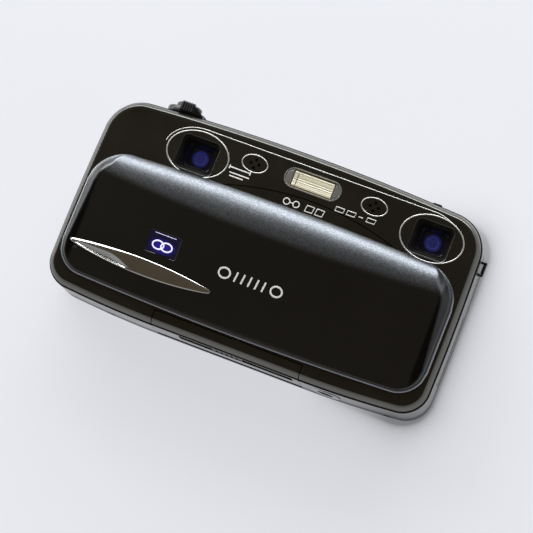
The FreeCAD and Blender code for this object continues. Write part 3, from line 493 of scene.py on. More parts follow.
# ---- front panel: swept rim and pierced plate ----
def rim_profile(inner):
    """From the flat face over the crisp-edged, slightly bulged bevel to the side."""
    profile = [(inner, FRONT), (BEVEL_IN + 0.06, FRONT), (BEVEL_IN + 0.01, FRONT + 0.012)]
    for i in range(1, 12):
        t = i / 12
        bulge = 0.14 * math.sin(math.pi * t)
        wide = BEVEL_IN - RIM_IN
        slope = math.hypot(wide, BEVEL_DEEP)
        inset = BEVEL_IN - wide * t - bulge * BEVEL_DEEP / slope
        profile.append((inset, FRONT + BEVEL_DEEP * t - bulge * wide / slope))
    profile += [(RIM_IN + 0.01, FRONT + BEVEL_DEEP - 0.04), (RIM_IN, FRONT + BEVEL_DEEP + 0.05)]
    return profile


def over_door(point):
    """Whether a point of the outline is at the battery door."""
    x, z = point[0], point[1]
    return z < 6 and DOOR_LEFT - 0.1 < x < DOOR_RIGHT + 0.1


def door_edges(loop, left, right):
    """The loop's stretch from left to right along the level base and its rise, ends exact."""
    base = sorted([p for p in loop if p[1] < 1.0 and left < p[0] < right])
    ends = []
    for x in (left, right):
        rise = max(abs(x) - BASE_FLAT, 0.0) ** 2 / (2 * BASE_R)
        tilt = math.copysign(max(abs(x) - BASE_FLAT, 0.0) / BASE_R, x)
        ends.append((x, rise, tilt, -math.sqrt(1 - tilt * tilt)))
    return [ends[0], *base, ends[1]]


def front_rim():
    """The bevelled rim round the panel, open where the battery door's lip comes round."""
    start = max(i for i, p in enumerate(CASE[:60]) if over_door(p)) + 1
    around = CASE[start:] + CASE[:start]
    keep = [p for p in around if not over_door(p)]
    right = door_edges(CASE, DOOR_RIGHT + DOOR_SEAM, DOOR_RIGHT + 2.0)[0]
    left = door_edges(CASE, DOOR_LEFT - 2.0, DOOR_LEFT - DOOR_SEAM)[-1]
    loop = [right, *keep, left]
    profile = rim_profile(PLATE_IN) + [(RIM_IN, FRONT + 2.9), (RIM_IN + 0.1, FRONT + 3.0), (2.6, FRONT + 3.0)]
    points, faces = skin(swept(loop, profile + [(2.6, FRONT + 1.2), (PLATE_IN, FRONT + 1.2)]), closed=False)
    return build("panel_rim", points, faces, case_black, "case")


def plate_outline():
    """The plate's edge: the case outline inset, notched for the battery door."""
    inset = [(x - nx * PLATE_IN, z - nz * PLATE_IN) for x, z, nx, nz in CASE]
    start = max(i for i, p in enumerate(inset[:60]) if over_door(p)) + 1
    around = [p for p in inset[start:] + inset[:start] if not over_door(p)]
    top = DOOR_LIP + 0.22
    left, right = DOOR_LEFT - DOOR_SEAM, DOOR_RIGHT + DOOR_SEAM
    return [(right, top), (right, PLATE_IN), *around, (left, PLATE_IN), (left, top)]


def arched_groove(wide=0.3):
    """A narrow arched slot, its ends under the cover."""
    r, middle = 88.0, (7.54, HEIGHT - 13.7 - 88.0)
    reach = math.radians(20.0)
    outer = arc(middle, r, math.pi / 2 - reach, math.pi / 2 + reach, 60)
    inner = arc(middle, r - wide, math.pi / 2 + reach, math.pi / 2 - reach, 60)
    return [p[:2] for p in outer + inner]


def front_panel():
    """The plate, pierced by its groove, flash, lenses and microphones, its rim, and a dark backing."""
    openings = [round_rect(FLASH_X, FLASH_Z, 18.0, 6.3, 3.1)]
    openings += [round_rect(x, LENS_Z - WELL_DROP, 12.2, 11.0, 1.8) for x in LENS_X]
    holes = [arched_groove(), *openings]
    for mic in MIC_X:
        holes += [ellipse(mic + dx, MIC_Z + dz, 0.46, 0.46, count=20)
                  for dx, dz in ((-1.3, 0), (1.3, 0), (0, 1.3), (0, -1.3))]
    thick = 1.1
    flat_plate("panel_plate", [plate_outline(), *holes], FRONT, thick, case_black, "case")
    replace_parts(front_rim(), "front_panel")
    backing = [round_rect(7.5, 52.0, 92.0, 15.0, 2.0), *openings]
    flat_plate("panel_backing", backing, FRONT + thick + 0.02, 0.3, moulded, "case")


front_panel()


# ---- battery door ----
def battery_door():
    """The lip that comes round to the front, the base with the latch's slot, and the hinge knuckles."""
    left, right = DOOR_LEFT, DOOR_RIGHT
    loop = door_edges(CASE, left, right)
    profile = [(DOOR_LIP, FRONT + 1.4), (DOOR_LIP, FRONT + 0.06), (DOOR_LIP - 0.06, FRONT)]
    profile += rim_profile(DOOR_LIP - 0.3) + [(RIM_IN, -8.05), (RIM_IN + 0.25, -7.98), (RIM_IN + 0.25, -7.74)]
    profile += [(0.16, -7.72), (0.0, -7.58), (0.0, BAND_FRONT)]
    rings = swept(loop, profile)
    inner = swept(loop, [(1.3, BAND_FRONT), (1.3, FRONT + 3.0), (2.4, FRONT + 1.4), (DOOR_LIP, FRONT + 1.4)])
    points, faces = skin(rings + inner, closed=False)
    count = len(loop)
    total = len(rings) + len(inner)
    for end in (0, count - 1):
        faces.append(tuple(r * count + end for r in range(total)))
    lip = build("door_lip", points, faces, case_black, "door")
    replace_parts(lip, "battery_door")
    edge = [(left, BAND_FRONT), (right, BAND_FRONT), (right, 3.1), (12.3, 3.1), (-12.3, 3.1), (left, 3.1)]
    recess = round_rect(2.75, -4.5, 36.5, 5.4, 0.8)
    flat_plate("door_base", [edge, recess], 0.0, 0.42, band_black, "door", lying=True)
    latch_slot = round_rect(1.5, -4.5, 13.2, 4.2, 0.4)
    flat_plate("door_recess", [edge, latch_slot], 0.42, 0.58, moulded, "door", lying=True)
    flat_plate("door_inner", [edge], 1.0, 0.38, moulded, "door", lying=True)
    barrels = []
    for x0, x1 in ((left + 1, -13.0), (13.0, right - 1)):
        rings = []
        for x, r in ((x0, 0.9), (x0 + 0.2, 1.2), (x1 - 0.2, 1.2), (x1, 0.9)):
            rings.append([(x, 4.7 + r * math.cos(t), 1.6 + r * math.sin(t)) for t in turns(32)])
        barrels.append(skin(rings, caps=True))
        web = [[(x, y, z) for y, z in ((3.0, 0.02), (4.6, 0.5), (4.6, 2.2), (3.0, 1.3))] for x in (x0, x1)]
        barrels.append(skin(web, caps=True))
    points, faces = joined(*barrels)
    build("door_knuckles", points, faces, band_black, "door")


battery_door()


# ---- the slide cover ----
COVER_R_TOP, COVER_R_BASE = 11.5, 9.0
CROWN_R, FOOT_R = 889.0, 1100.0
LIP, LIP_PROUD, FLANK_RISE = 0.95, 1.75, 1.6
FULLNESS = 2.3                       # how square the ridge is from crease to top edge
SHOULDER, CREASE_RISE, RIDGE_FALL = 54.0, 2.1, 0.7
GRIP_LEFT, GRIP_RIGHT, GRIP_Z = -55.6, -9.9, 15.0
BADGE = (-28.3, 22.9, 9.6, 6.3)


def cover_side(x, upper, inset):
    """Where the cover's outline, inset by one value, is at x: height and outward direction."""
    radius, corner = (CROWN_R, COVER_R_TOP) if upper else (FOOT_R, COVER_R_BASE)
    sign = 1 if upper else -1
    middle = COVER_TOP - CROWN_R if upper else COVER_FOOT + FOOT_R
    corner_x = COVER_HALF - corner
    corner_z = middle + sign * math.sqrt((radius - corner) ** 2 - corner_x ** 2)
    share = corner_x / (radius - corner)
    if abs(x) <= share * (radius - inset):
        centre, r = (0.0, middle), radius - inset
    else:
        centre, r = (math.copysign(corner_x, x), corner_z), corner - inset
    dx = x - centre[0]
    dz = sign * math.sqrt(max(r * r - dx * dx, 0.0))
    return centre[1] + dz, dx / r, dz / r


def crease_at(x):
    """The height of the fold line between face and ridge, which curves up to the shoulders."""
    return CREASE + CREASE_RISE * (x / SHOULDER) ** 2


def ridge_at(x):
    """How far the ridge stands off the panel, a little less at the shoulders."""
    return RIDGE - RIDGE_FALL * (x / SHOULDER) ** 2


def grip_edges(x):
    """Lower and upper edge of the finger grip at x: a long leaf with small round tips."""
    t = min(max((x - GRIP_LEFT) / (GRIP_RIGHT - GRIP_LEFT), 0.0), 1.0)
    bow = (4 * t * (1 - t)) ** 0.92
    tip = 0.55 * math.sqrt(min(60 * t * (1 - t), 1.0))
    chord = GRIP_Z + 0.25 - 0.65 * t
    return chord - 2.25 * bow - tip, chord + 1.75 * bow + tip


def face_proud(x, z):
    """How far the plain sloping face stands off the panel."""
    return LIP_PROUD + (z - COVER_FOOT - LIP) * (ridge_at(x) - LIP_PROUD) / (crease_at(x) - COVER_FOOT - LIP)


def on_cover(x, z):
    return FRONT - face_proud(x, z)


def cover_proud(x, z, inset=None, up=0.0):
    """How far the cover stands off the panel, at x and z; inset is the distance in from its outline."""
    crease, ridge = crease_at(x), ridge_at(x)
    top = cover_side(min(abs(x), 46.0), True, 0.0)[0]
    rise = min(max((z - crease) / (top - crease), 0.0), 1.0)
    band = 0.3 + (ridge - 0.3) * (1 - rise ** FULLNESS) ** (1 / FULLNESS)
    proud = smooth_min(face_proud(x, z), band, 0.12)
    if GRIP_LEFT < x < GRIP_RIGHT:
        low, high = grip_edges(x)
        proud -= 1.0 * ease((min(z - low, high - z) - 0.25) / 0.3)
    away = max(abs(x - BADGE[0]) - BADGE[2] / 2, abs(z - BADGE[1]) - BADGE[3] / 2)
    proud -= 0.5 * ease((-away + 0.1) / 0.25)
    if inset is None:
        return proud
    narrow = 1.0 - 0.86 * max(0.0, (up - 0.75) / 0.25) ** 1.5 if up > 0.75 else 1.0
    d = inset / narrow
    if d < LIP:
        flank = LIP_PROUD - LIP + math.sqrt(max(LIP ** 2 - (LIP - d) ** 2, 0.0))
    else:
        flank = LIP_PROUD + FLANK_RISE * (d - LIP)
    return smooth_min(proud, flank, 0.25)


def slide_cover():
    """The cover's shell: a grid over its middle, then rings out over the rounded edge and back under it."""
    deep = 5.8                       # from the grid's edge to the outline
    cols, rows = 300, 110
    end = COVER_HALF - deep
    xs = []
    for j in range(cols + 1):
        t = -1 + 2 * j / cols
        xs.append(end * math.sin(t * math.pi / 2) * 0.35 + end * t * 0.65)
    points, faces, grid = [], [], []
    split = 0.7
    for i in range(rows + 1):
        t = i / rows
        for x in xs:
            low, high = cover_side(x, False, deep)[0], cover_side(x, True, deep)[0]
            crease = min(max(crease_at(x), low + 1.0), high - 1.0)
            lower = low + (crease - low) * t / split
            upper = crease + (high - crease) * (t - split) / (1 - split)
            grid.append((x, lower if t < split else upper))
    for x, z in grid:
        points.append((x, FRONT - cover_proud(x, z), z))
    wide = cols + 1
    for i in range(rows):
        for j in range(cols):
            a = i * wide + j
            faces.append((a, a + 1, a + wide + 1, a + wide))
    loop = [(j, xs[j], *cover_side(xs[j], False, deep)) for j in range(wide)]
    loop += [(i * wide + cols, end, grid[i * wide + cols][1], 1.0, 0.0) for i in range(1, rows)]
    loop += [(rows * wide + j, xs[j], *cover_side(xs[j], True, deep)) for j in range(cols, -1, -1)]
    loop += [(i * wide, -end, grid[i * wide][1], -1.0, 0.0) for i in range(rows - 1, 0, -1)]
    steps = [5.2, 4.6, 4.1, 3.7, 3.3, 2.9, 2.5, 2.1, 1.8, 1.5, 1.25, 1.05, 0.9, 0.76, 0.62, 0.5, 0.38, 0.28,
             0.19, 0.12, 0.06, 0.02, 0.0]
    before = [entry[0] for entry in loop]
    count = len(loop)
    outer = [(deep - step, step) for step in steps]
    for out, inset in [*outer, (deep, None), (deep - 1.2, None)]:
        now = []
        for _, x, z, nx, nz in loop:
            px, pz = x + nx * out, z + nz * out
            proud = 0.3 if inset is None else cover_proud(px, pz, inset, nz)
            now.append(len(points))
            points.append((px, FRONT - proud, pz))
        for i in range(count):
            k = (i + 1) % count
            faces.append((before[i], now[i], now[k], before[k]))
        before = now
    faces.append(tuple(before))
    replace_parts(build("cover_shell", points, faces, cover_black, "cover", 60), "slide_cover")


slide_cover()


def cover_grip():
    """A long leaf of bright metal: an upper edge that widens to the left, and a facet low on the left."""
    across, along = 44, 240
    rings = []
    for i in range(along + 1):
        t = 0.5 - 0.5 * math.cos(math.pi * i / along)
        x = GRIP_LEFT + 0.01 + (GRIP_RIGHT - GRIP_LEFT - 0.02) * t
        low, high = grip_edges(x)
        width = max(high - low, 0.05)
        wide = 0.38 + 0.50 * (1 - ease((x + 47) / 15))
        facet = low + (GRIP_Z + 0.35 - low) * (1 - ease((x + 43.5) / 12))
        ring = []
        for k in range(across + 1):
            z = low + width * (0.5 - 0.5 * math.cos(math.pi * k / across))
            above, below = high - z, z - low
            sunk = 0.52 * wide * (1 - ease(above / wide)) + 0.20 * (1 - ease(below / 0.4))
            sunk += 0.10 * math.sin(math.pi * (z - low) / width)
            sunk += 0.50 * max(facet - z, 0.0) * ease((below - 0.2) / 0.7)
            ring.append((x, on_cover(x, z) - 0.16 - 0.30 * wide + sunk * min(1.0, width / 1.2), z))
        rings.append(ring)
    points, faces = skin(rings, closed=False)
    piece = build("grip_leaf", points, faces, chrome, "cover", 70)
    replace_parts(piece, "cover_grip")


cover_grip()


def badge():
    """A small inset window with two linked rings under a line."""
    cx, cz, w, h = BADGE
    rings = []
    for grow, out in ((0.0, -0.45), (-0.04, -0.06), (-0.3, -0.05), (-0.45, -0.08), (-0.9, -0.12)):
        rings.append([(x, on_cover(x, z) - out, z) for x, z in round_rect(cx, cz, w + grow, h + grow, 0.6)])
    points, faces = skin(rings)
    count = len(rings[0])
    faces.append(tuple(range(4 * count, 5 * count)))
    window = build("badge_pane", points, faces, badge_blue_glow, "cover", 40)
    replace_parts(window, "badge_window")

    def on_pane(x, z):
        return on_cover(x, z) + 0.09

    marks = [bead(ellipse(cx + dx, cz - 0.55, 1.75, 1.25, count=48), on_pane, 0.42, 0.05)
             for dx in (-1.35, 1.35)]
    marks.append(bead([(cx - 3.4, cz + 2.75), (cx + 3.4, cz + 2.75)], on_pane, 0.14, 0.02, False))
    points, faces = joined(*marks)
    build("badge_sign", points, faces, badge_glow, "cover", 80)


badge()


# ---- printed signs, kept plain ----
def printed(name, strokes, surface, wide, body):
    """Thin raised ink strokes; each is (path, closed)."""
    points, faces = joined(*[bead(path, surface, wide, 0.03, closed) for path, closed in strokes])
    build(name, points, faces, white_ink_glow, body, 80)


def bar(x, z, w, h, lean):
    """An outline box standing at x, z, leaning to the right."""
    return ([(x, z), (x + w, z), (x + w + lean, z + h), (x + lean, z + h)], True)


def stereo_sign(x, z, h):
    """Two lens rings joined by a line."""
    r = h / 2
    strokes = [(ellipse(cx, z + r, r, r, count=32), True) for cx in (x + r, x + 4.2 * r)]
    strokes.append(([(x + 2.1 * r, z + r), (x + 3.1 * r, z + r)], False))
    return strokes


def front_signs():
    """A row of strokes between two rings on the cover, and small plain signs on the panel."""
    row_z = 19.9
    strokes = [(ellipse(x, row_z + 1.5, 1.75, 1.5, count=40), True) for x in (-7.9, 8.6)]
    strokes += [([(-4.4 + 2.2 * i, row_z), (-4.0 + 2.2 * i, row_z + 3.0)], False) for i in range(5)]
    printed("cover_sign", strokes, on_cover, 0.62, "cover")
    strokes = [([(-19.4, 52.7), (-12.8, 52.7)], False), ([(-19.4, 52.1), (-19.4, 53.3)], False)]
    strokes += [([(-12.8, 52.1), (-12.8, 53.3)], False), ([(-18.9, 51.1), (-12.6, 51.1)], False)]
    strokes += [([(-18.6, 50.1), (-14.2, 50.1)], False)]
    printed("base_line_sign", strokes, on_panel, 0.42, "case")
    strokes = stereo_sign(-0.4, 47.7, 1.9) + [bar(6.6, 47.7, 2.3, 1.9, 0.3), bar(9.8, 47.7, 2.3, 1.9, 0.3)]
    printed("mode_sign", strokes, on_panel, 0.36, "case")
    strokes = [bar(15.0, 51.0, 2.6, 1.3, 0.2), bar(18.6, 51.0, 2.6, 1.3, 0.2)]
    strokes += [([(22.4, 51.65), (23.8, 51.65)], False), bar(24.9, 51.0, 2.6, 1.3, 0.2)]
    printed("sensor_sign", strokes, on_panel, 0.32, "case")


front_signs()


# ---- rings, trim, microphones ----
points, faces = joined(*[bead(ellipse(x, LENS_Z + 0.05, 9.7, 7.0, count=160), on_panel, 0.42, 0.12)
                         for x in LENS_X])
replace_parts(build("lens_ring_beads", points, faces, ring_metal, "case", 80), "lens_rings")
points, faces = joined(*[bead(ellipse(x, MIC_Z, 4.0, 2.65), on_panel, 0.36, 0.10) for x in MIC_X])
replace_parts(build("mic_ring_beads", points, faces, ring_metal, "case", 80), "mic_rings")


def trim_path():
    """Over the left lens ring, along the top edge and part way round the right one."""
    rise = HEIGHT - 4.0 - 0.15 - LENS_Z
    hook = ellipse(LENS_X[0], LENS_Z, 10.7, rise, 174, 90, 40)
    tail = ellipse(LENS_X[1] - 2, LENS_Z, 10.2, rise, 90, 52, 16)
    return hook + [(-10.0, LENS_Z + rise), (20.0, LENS_Z + rise)] + tail


points, faces = bead(trim_path(), on_panel, 0.28, 0.08, False)
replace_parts(build("trim_line", points, faces, ring_metal, "case", 80), "panel_trim")


# ---- lens wells ----
# width, height, corner radius and y of each edge, from the panel inwards
WELL_EDGES = [(12.5, 11.3, 1.9, -10.44), (12.35, 11.15, 1.85, -10.56), (12.1, 10.9, 1.8, -10.58),
              (11.9, 10.7, 1.75, -10.5), (11.6, 10.3, 1.7, -9.2), (11.5, 10.2, 1.7, -9.15),
              (10.9, 9.3, 1.6, -9.12), (10.75, 9.15, 1.55, -9.2), (10.6, 9.0, 1.5, -9.1),
              (10.3, 8.6, 1.4, -7.7), (10.2, 8.5, 1.4, -7.62), (8.9, 7.5, 1.2, -7.6),
              (8.75, 7.35, 1.2, -7.66), (8.6, 7.2, 1.2, -7.5),
              (8.2, 6.8, 1.1, -6.1), (8.1, 6.7, 1.1, -6.04), (6.9, 6.3, 1.0, -6.02), (6.75, 6.15, 1.0, -6.06),
              (6.6, 6.0, 1.0, -5.9), (6.2, 5.7, 0.9, -4.6)]
TINTED_FROM = 13


def lens_well(cx, inner):
    """The stepped well in front of a lens: its outer frames, or the tinted ones close round the glass."""
    rings = []
    for w, h, r, y in WELL_EDGES[TINTED_FROM:] if inner else WELL_EDGES[:TINTED_FROM + 1]:
        drop = WELL_DROP * min(1.0, max(0.0, (-y - 6.0) / 4.4))
        frame_ring = round_rect(cx, LENS_Z - WELL_DROP, w, h, r)
        rings.append([(x, y, z + WELL_DROP - drop) for x, z in frame_ring])
    if inner:
        angles = [math.atan2(z - LENS_Z, x - cx) for x, _, z in rings[-1]]
        for r, y in ((2.75, -4.55), (2.62, -4.6), (2.55, -4.4)):
            rings.append([(cx + r * math.cos(t), y, LENS_Z + r * math.sin(t)) for t in angles])
    return skin(rings)


points, faces = joined(*[lens_well(x, False) for x in LENS_X])
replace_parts(build("lens_wells", points, faces, hood_black, "case", 40), "lens_hoods")
points, faces = joined(*[lens_well(x, True) for x in LENS_X])
build("lens_inner_frames", points, faces, hood_navy, "case", 40)


def lens_dome(cx):
    """The front lens: a shallow round dome, highest in the middle."""
    radius, front, sagitta, steps, count = 2.58, -5.2, 0.62, 14, 48
    rings = []
    for i in range(1, steps + 1):
        r = radius * i / steps
        y = front + sagitta * (r / radius) ** 2
        rings.append([(cx + r * math.cos(t), y, LENS_Z + r * math.sin(t)) for t in turns(count)])
    points, faces = skin(rings)
    faces.append(tuple(range(count)))
    return points, faces


def glass_rings():
    """Edges of the inner elements seen through each front lens, glowing faintly: painted glints."""
    strokes = []
    for cx in LENS_X:
        for dx, dz, r in ((0.0, 0.0, 1.75), (0.25, -0.15, 0.85)):
            strokes.append(bead(ellipse(cx + dx, LENS_Z + dz, r, r, count=40), level(-4.9), 0.16, 0.05))
    points, faces = joined(*strokes)
    build("lens_glass_rings", points, faces, lens_glint, "case", 80)


glass_rings()
points, faces = joined(*[lens_dome(x) for x in LENS_X])
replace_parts(build("lens_domes", points, faces, lens_blue_glow, "case", 60), "front_lenses")


# ---- flash ----
def flash():
    """A round-ended frame, clear plastic at both ends, and the ribbed window between, masked at its edges."""
    cx, cz = FLASH_X, FLASH_Z
    rings = []
    edges = ((18.1, 6.4, -10.44), (18.0, 6.3, -10.6), (17.6, 5.9, -10.62), (17.4, 5.7, -10.5),
             (17.3, 5.6, -10.1))
    for w, h, y in edges:
        rings.append([(x, y, z) for x, z in round_rect(cx, cz, w, h, h / 2 - 0.05, 16)])
    points, faces = skin(rings)
    build("flash_frame", points, faces, flash_frame, "case", 50)
    for side in (-1, 1):
        rings = []
        for grow, y in ((0.0, -10.1), (-0.3, -10.32), (-1.0, -10.38), (-2.2, -10.4)):
            outline = []
            for x, z in round_rect(cx, cz, 17.3 + grow, 5.6 + grow, 2.75 + grow / 2, 16):
                edge = cx + side * (6.55 + (0.1 if grow else 0.0))
                outline.append((max(x, edge) if side > 0 else min(x, edge), y, z))
            rings.append(outline)
        points, faces = skin(rings)
        faces.append(tuple(range(3 * len(rings[0]), 4 * len(rings[0]))))
        name = "flash_end_right" if side > 0 else "flash_end_left"
        piece = build(name, points, faces, flash_clear, "case", 50)
    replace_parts(piece, "flash_window")
    rows = []
    for i in range(41):
        v = i / 40
        z = cz - 2.2 + 4.4 * v
        ribs = 0.05 * math.cos(v * 2 * math.pi * 7)
        bowl = 0.35 * (2 * v - 1) ** 2
        y = -10.28 - bowl * 0.4 + ribs
        rows.append([(x, y, z) for x in (cx - 6.2, cx - 3.0, cx, cx + 3.0, cx + 6.3)])
    points, faces = skin(rows, closed=False)
    build("flash_lens", points, faces, flash_cream_glow, "case", 80)
    # each line from one point to another, its y, width and height
    mask = [((6.5, -2.4), (6.5, 2.4), -10.3, 0.3, 0.06), ((-6.4, -2.4), (-6.4, 2.4), -10.3, 0.3, 0.06),
            ((-6.5, -2.45), (6.5, -2.45), -10.3, 0.34, 0.06), ((-6.5, 2.45), (6.5, 2.45), -10.3, 0.26, 0.06),
            ((-5.0, -2.3), (-5.0, 2.3), -10.36, 0.22, 0.05)]
    lines = [bead([(cx + a, cz + b), (cx + c, cz + d)], level(y), wide, high, False)
             for (a, b), (c, d), y, wide, high in mask]
    points, faces = joined(*lines)
    build("flash_mask", points, faces, moulded, "case", 60)


flash()


# ---- turned controls ----
def turned(centre, axis, profile, teeth=0, depth=0.0, count=160):
    """A lathe form about +Z or +Y: profile is (radius, height, share of the teeth)."""
    rings = []
    for r, h, share in profile:
        ring = []
        for t in turns(count):
            cutting = depth * share * (0.5 - 0.5 * math.cos(t * teeth)) if teeth else 0.0
            a, b = (r - cutting) * math.cos(t), (r - cutting) * math.sin(t)
            if axis == "Z":
                ring.append((centre[0] + a, centre[1] + b, centre[2] + h))
            else:
                ring.append((centre[0] + a, centre[1] + h, centre[2] + b))
        rings.append(ring)
    points, faces = skin(rings)
    faces.append(tuple(range((len(rings) - 1) * count, len(rings) * count)))
    return points, faces


def zoom_control():
    """The lever's disc with its ribbed thumb tab and ramp, and the shutter button in its bore."""
    base = (ZOOM_X, ZOOM_Y, HEIGHT - 1.1)
    disc = turned(base, "Z", [(5.9, 0.0, 0), (6.15, 0.15, 0), (6.2, 0.35, 0), (6.2, 1.5, 0), (6.1, 1.75, 0),
                              (5.85, 1.95, 0), (4.4, 2.05, 0), (4.15, 1.95, 0), (4.1, 0.1, 0)])
    rings = []
    left, right, edge = ZOOM_X - 1.3, ZOOM_X + 3.3, ZOOM_Y - ZOOM_R
    steps, ribs = 72, 6
    for i in range(steps + 1):
        x = left + (right - left) * i / steps
        ridge = 0.16 * (0.5 - 0.5 * math.cos(2 * math.pi * ribs * i / steps))
        end = ease(min(i, steps - i) / 5)
        y0, y1 = edge - 1.3 + 0.5 * (1 - end), edge + 1.9
        z0, z1 = HEIGHT - 0.6, HEIGHT + 1.6 + 1.1 * end
        ring = [(x, y1, z0), (x, y0 + 0.3, z0), (x, y0 + ridge, z0 + 0.3)]
        ring.append((x, y0 + ridge, z1 - 0.9 * (1 - 0.3 * end)))
        ring += [(x, y0 + 0.35 + ridge, z1 - 0.3), (x, y0 + 0.9, z1 - 0.05 - ridge)]
        ring += [(x, y0 + 1.6, z1 - ridge), (x, y0 + 2.4, z1 - 0.3), (x, y1, z1 - 1.2)]
        rings.append(ring)
    tab = skin(rings, caps=True)
    ramp = [[(x, edge - share, HEIGHT - 0.6), (x, edge - share, HEIGHT - 0.3 + 2.1 * share),
             (x, edge + 1.9, HEIGHT - 0.3 + 2.1 * share), (x, edge + 1.9, HEIGHT - 0.6)]
            for x, share in ((right - 0.2, 1.0), (right + 1.2, 0.55), (right + 3.0, 0.05))]
    points, faces = joined(disc, tab, skin(ramp, caps=True))
    lever = build("zoom_lever_tab", points, faces, dark_metal, "zoom_lever", 32)
    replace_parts(lever, "zoom_ring")
    cap = [(4.0, 0.2, 0), (4.0, 2.3, 0), (3.9, 2.6, 0), (3.6, 2.82, 0), (3.0, 2.9, 0), (1.5, 2.86, 0),
           (0.4, 2.84, 0)]
    points, faces = turned((ZOOM_X, ZOOM_Y, HEIGHT), "Z", cap)
    button = build("shutter_cap", points, faces, dark_metal, "shutter", 40)
    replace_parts(button, "shutter_button")


zoom_control()


def rear_marks(name, strokes, y, body):
    """Ink strokes on a level surface that faces the back."""
    points, faces = joined(*[bead(path, level(-y), 0.18, 0.03, closed) for path, closed in strokes])
    build(name, [(x, -yy, z) for x, yy, z in points], faces, white_ink_glow, body, 80)


def box_path(x, z, w, h):
    return [(x - w / 2, z - h / 2), (x + w / 2, z - h / 2), (x + w / 2, z + h / 2), (x - w / 2, z + h / 2)]


def key_face(node):
    """The y of a key's outer face."""
    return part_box(node)[1][1] / MM


def rear_keys():
    """Plain signs on the keys (play, pages, two lenses, still, moving) and pad, and a screen border."""
    right, low = SIDE_X, 15.9
    play = [([(-54.3, low - 0.8), (-55.8, low), (-54.3, low + 0.8)], True)]
    rear_marks("mark_playback", play, key_face("button_playback"), "playback_key")
    pages = [([(-49.2, low + d), (-47.6, low + d)], False) for d in (-0.6, 0.0, 0.6)]
    rear_marks("mark_display", pages, key_face("button_display"), "display_key")
    twin = [(ellipse(right + d, 50.9, 0.7, 0.7, count=24), True) for d in (-0.95, 0.95)]
    rear_marks("mark_stereo", twin, key_face("button_stereo"), "stereo_key")
    still = [(box_path(right, 38.9, 2.8, 1.8), True), (ellipse(right, 38.9, 0.5, 0.5, count=20), True)]
    rear_marks("mark_photo", still, key_face("button_photo"), "photo_key")
    moving = [(box_path(right - 0.5, 26.9, 1.9, 1.4), True)]
    moving.append(([(right + 0.9, 26.9), (right + 1.7, 27.5), (right + 1.7, 26.3)], True))
    rear_marks("mark_movie", moving, key_face("button_movie"), "movie_key")
    arrows = []
    tip = [(5.3, 0.0), (4.5, 0.55), (4.5, -0.55)]
    for turn in turns(4):
        c, d = math.cos(turn), math.sin(turn)
        arrows.append(([(-right + a * c - b * d, 29.9 + a * d + b * c) for a, b in tip], True))
    rear_marks("mark_pad", arrows, key_face("menu_pad"), "pad")
    points, faces = bead(round_rect(0, 33, 84.2, 50.2, 2.0), level(-(BACK - 0.02)), 0.5, 0.14)
    build("screen_border", [(x, -yy, z) for x, yy, z in points], faces, dark_metal, "case", 80)


rear_keys()


def rear_dial():
    """A knurled dial with eight plain signs round it."""
    centre = (-SIDE_X, BACK, HEIGHT - 15.0)
    profile = [(6.15, -1.2, 1), (6.2, 0.1, 1), (6.15, 0.55, 1), (5.95, 0.8, 0.6), (5.6, 0.9, 0),
               (5.3, 0.86, 0), (5.2, 0.72, 0), (1.5, 0.66, 0), (0.3, 0.66, 0)]
    points, faces = turned(centre, "Y", profile, 44, 0.22, 352)
    dial = build("mode_dial_knurled", points, faces, dark_metal, "dial", 32)
    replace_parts(dial, "mode_dial")
    marks = []
    for i in range(8):
        t = math.radians(45 * i + 90)
        x, z = centre[0] + 3.7 * math.cos(t), centre[2] + 3.7 * math.sin(t)
        if i % 2:
            marks.append((ellipse(x, z, 0.5, 0.5, count=20), True))
        else:
            marks.append((box_path(x, z, 1.0, 0.7), True))
    rear_marks("dial_marks", marks, BACK + 0.70, "dial")


rear_dial()


# ---- stage, light and view ----
def pale_card():
    """Softly glowing pale card, seen from its front only, with a fixed shade to the right of the case."""
    look = Finish("pale_card")
    x, _, z = look.place()
    aside = (x.math("ABSOLUTE") - (HALF - 10.0)).math("MAXIMUM", 0.0)
    above = ((z - HEIGHT / 2).math("ABSOLUTE") - (HEIGHT / 2 - 10.0)).math("MAXIMUM", 0.0)
    away = (aside * aside + above * above).math("SQRT") - 10.0
    near = (away.math("MAXIMUM", 0.0) * -0.28).math("EXPONENT")
    tight = (away.math("MAXIMUM", 0.0) * -1.6).math("EXPONENT")
    right = look.clamped(x - 30.0 + (HEIGHT - z) * 0.12, 0.036)
    shade = 1.0 - right * (near * 0.50 + tight * 0.22)
    mottle = look.noise(14.0, 3.0)
    look.feed("Base Color", look.mix(mottle, (0.29, 0.29, 0.30), (0.31, 0.31, 0.32)))
    look.feed("Roughness", 1.0)
    look.feed("Specular IOR Level", 0.0)
    look.feed("Emission Color", look.mix(shade, (0.0, 0.0, 0.0), (0.93, 0.945, 1.0)))
    look.feed("Emission Strength", 0.66)
    behind = look.add("ShaderNodeNewGeometry", out="Backfacing")
    clear = look.add("ShaderNodeBsdfTransparent")
    seen = look.add("ShaderNodeMixShader", None, {0: behind, 1: Wire(look, look.shader.outputs[0]), 2: clear})
    look.put(look.tree.nodes["Material Output"].inputs["Surface"], seen)
    return look.material


def board(name, corners, faces, look):
    mesh = bpy.data.meshes.new(name)
    mesh.from_pydata([Vector(c) for c in corners], [], faces)
    mesh.materials.append(look)
    item = bpy.data.objects.new(name, mesh)
    bpy.context.scene.collection.objects.link(item)
    item.visible_shadow = False
    return item


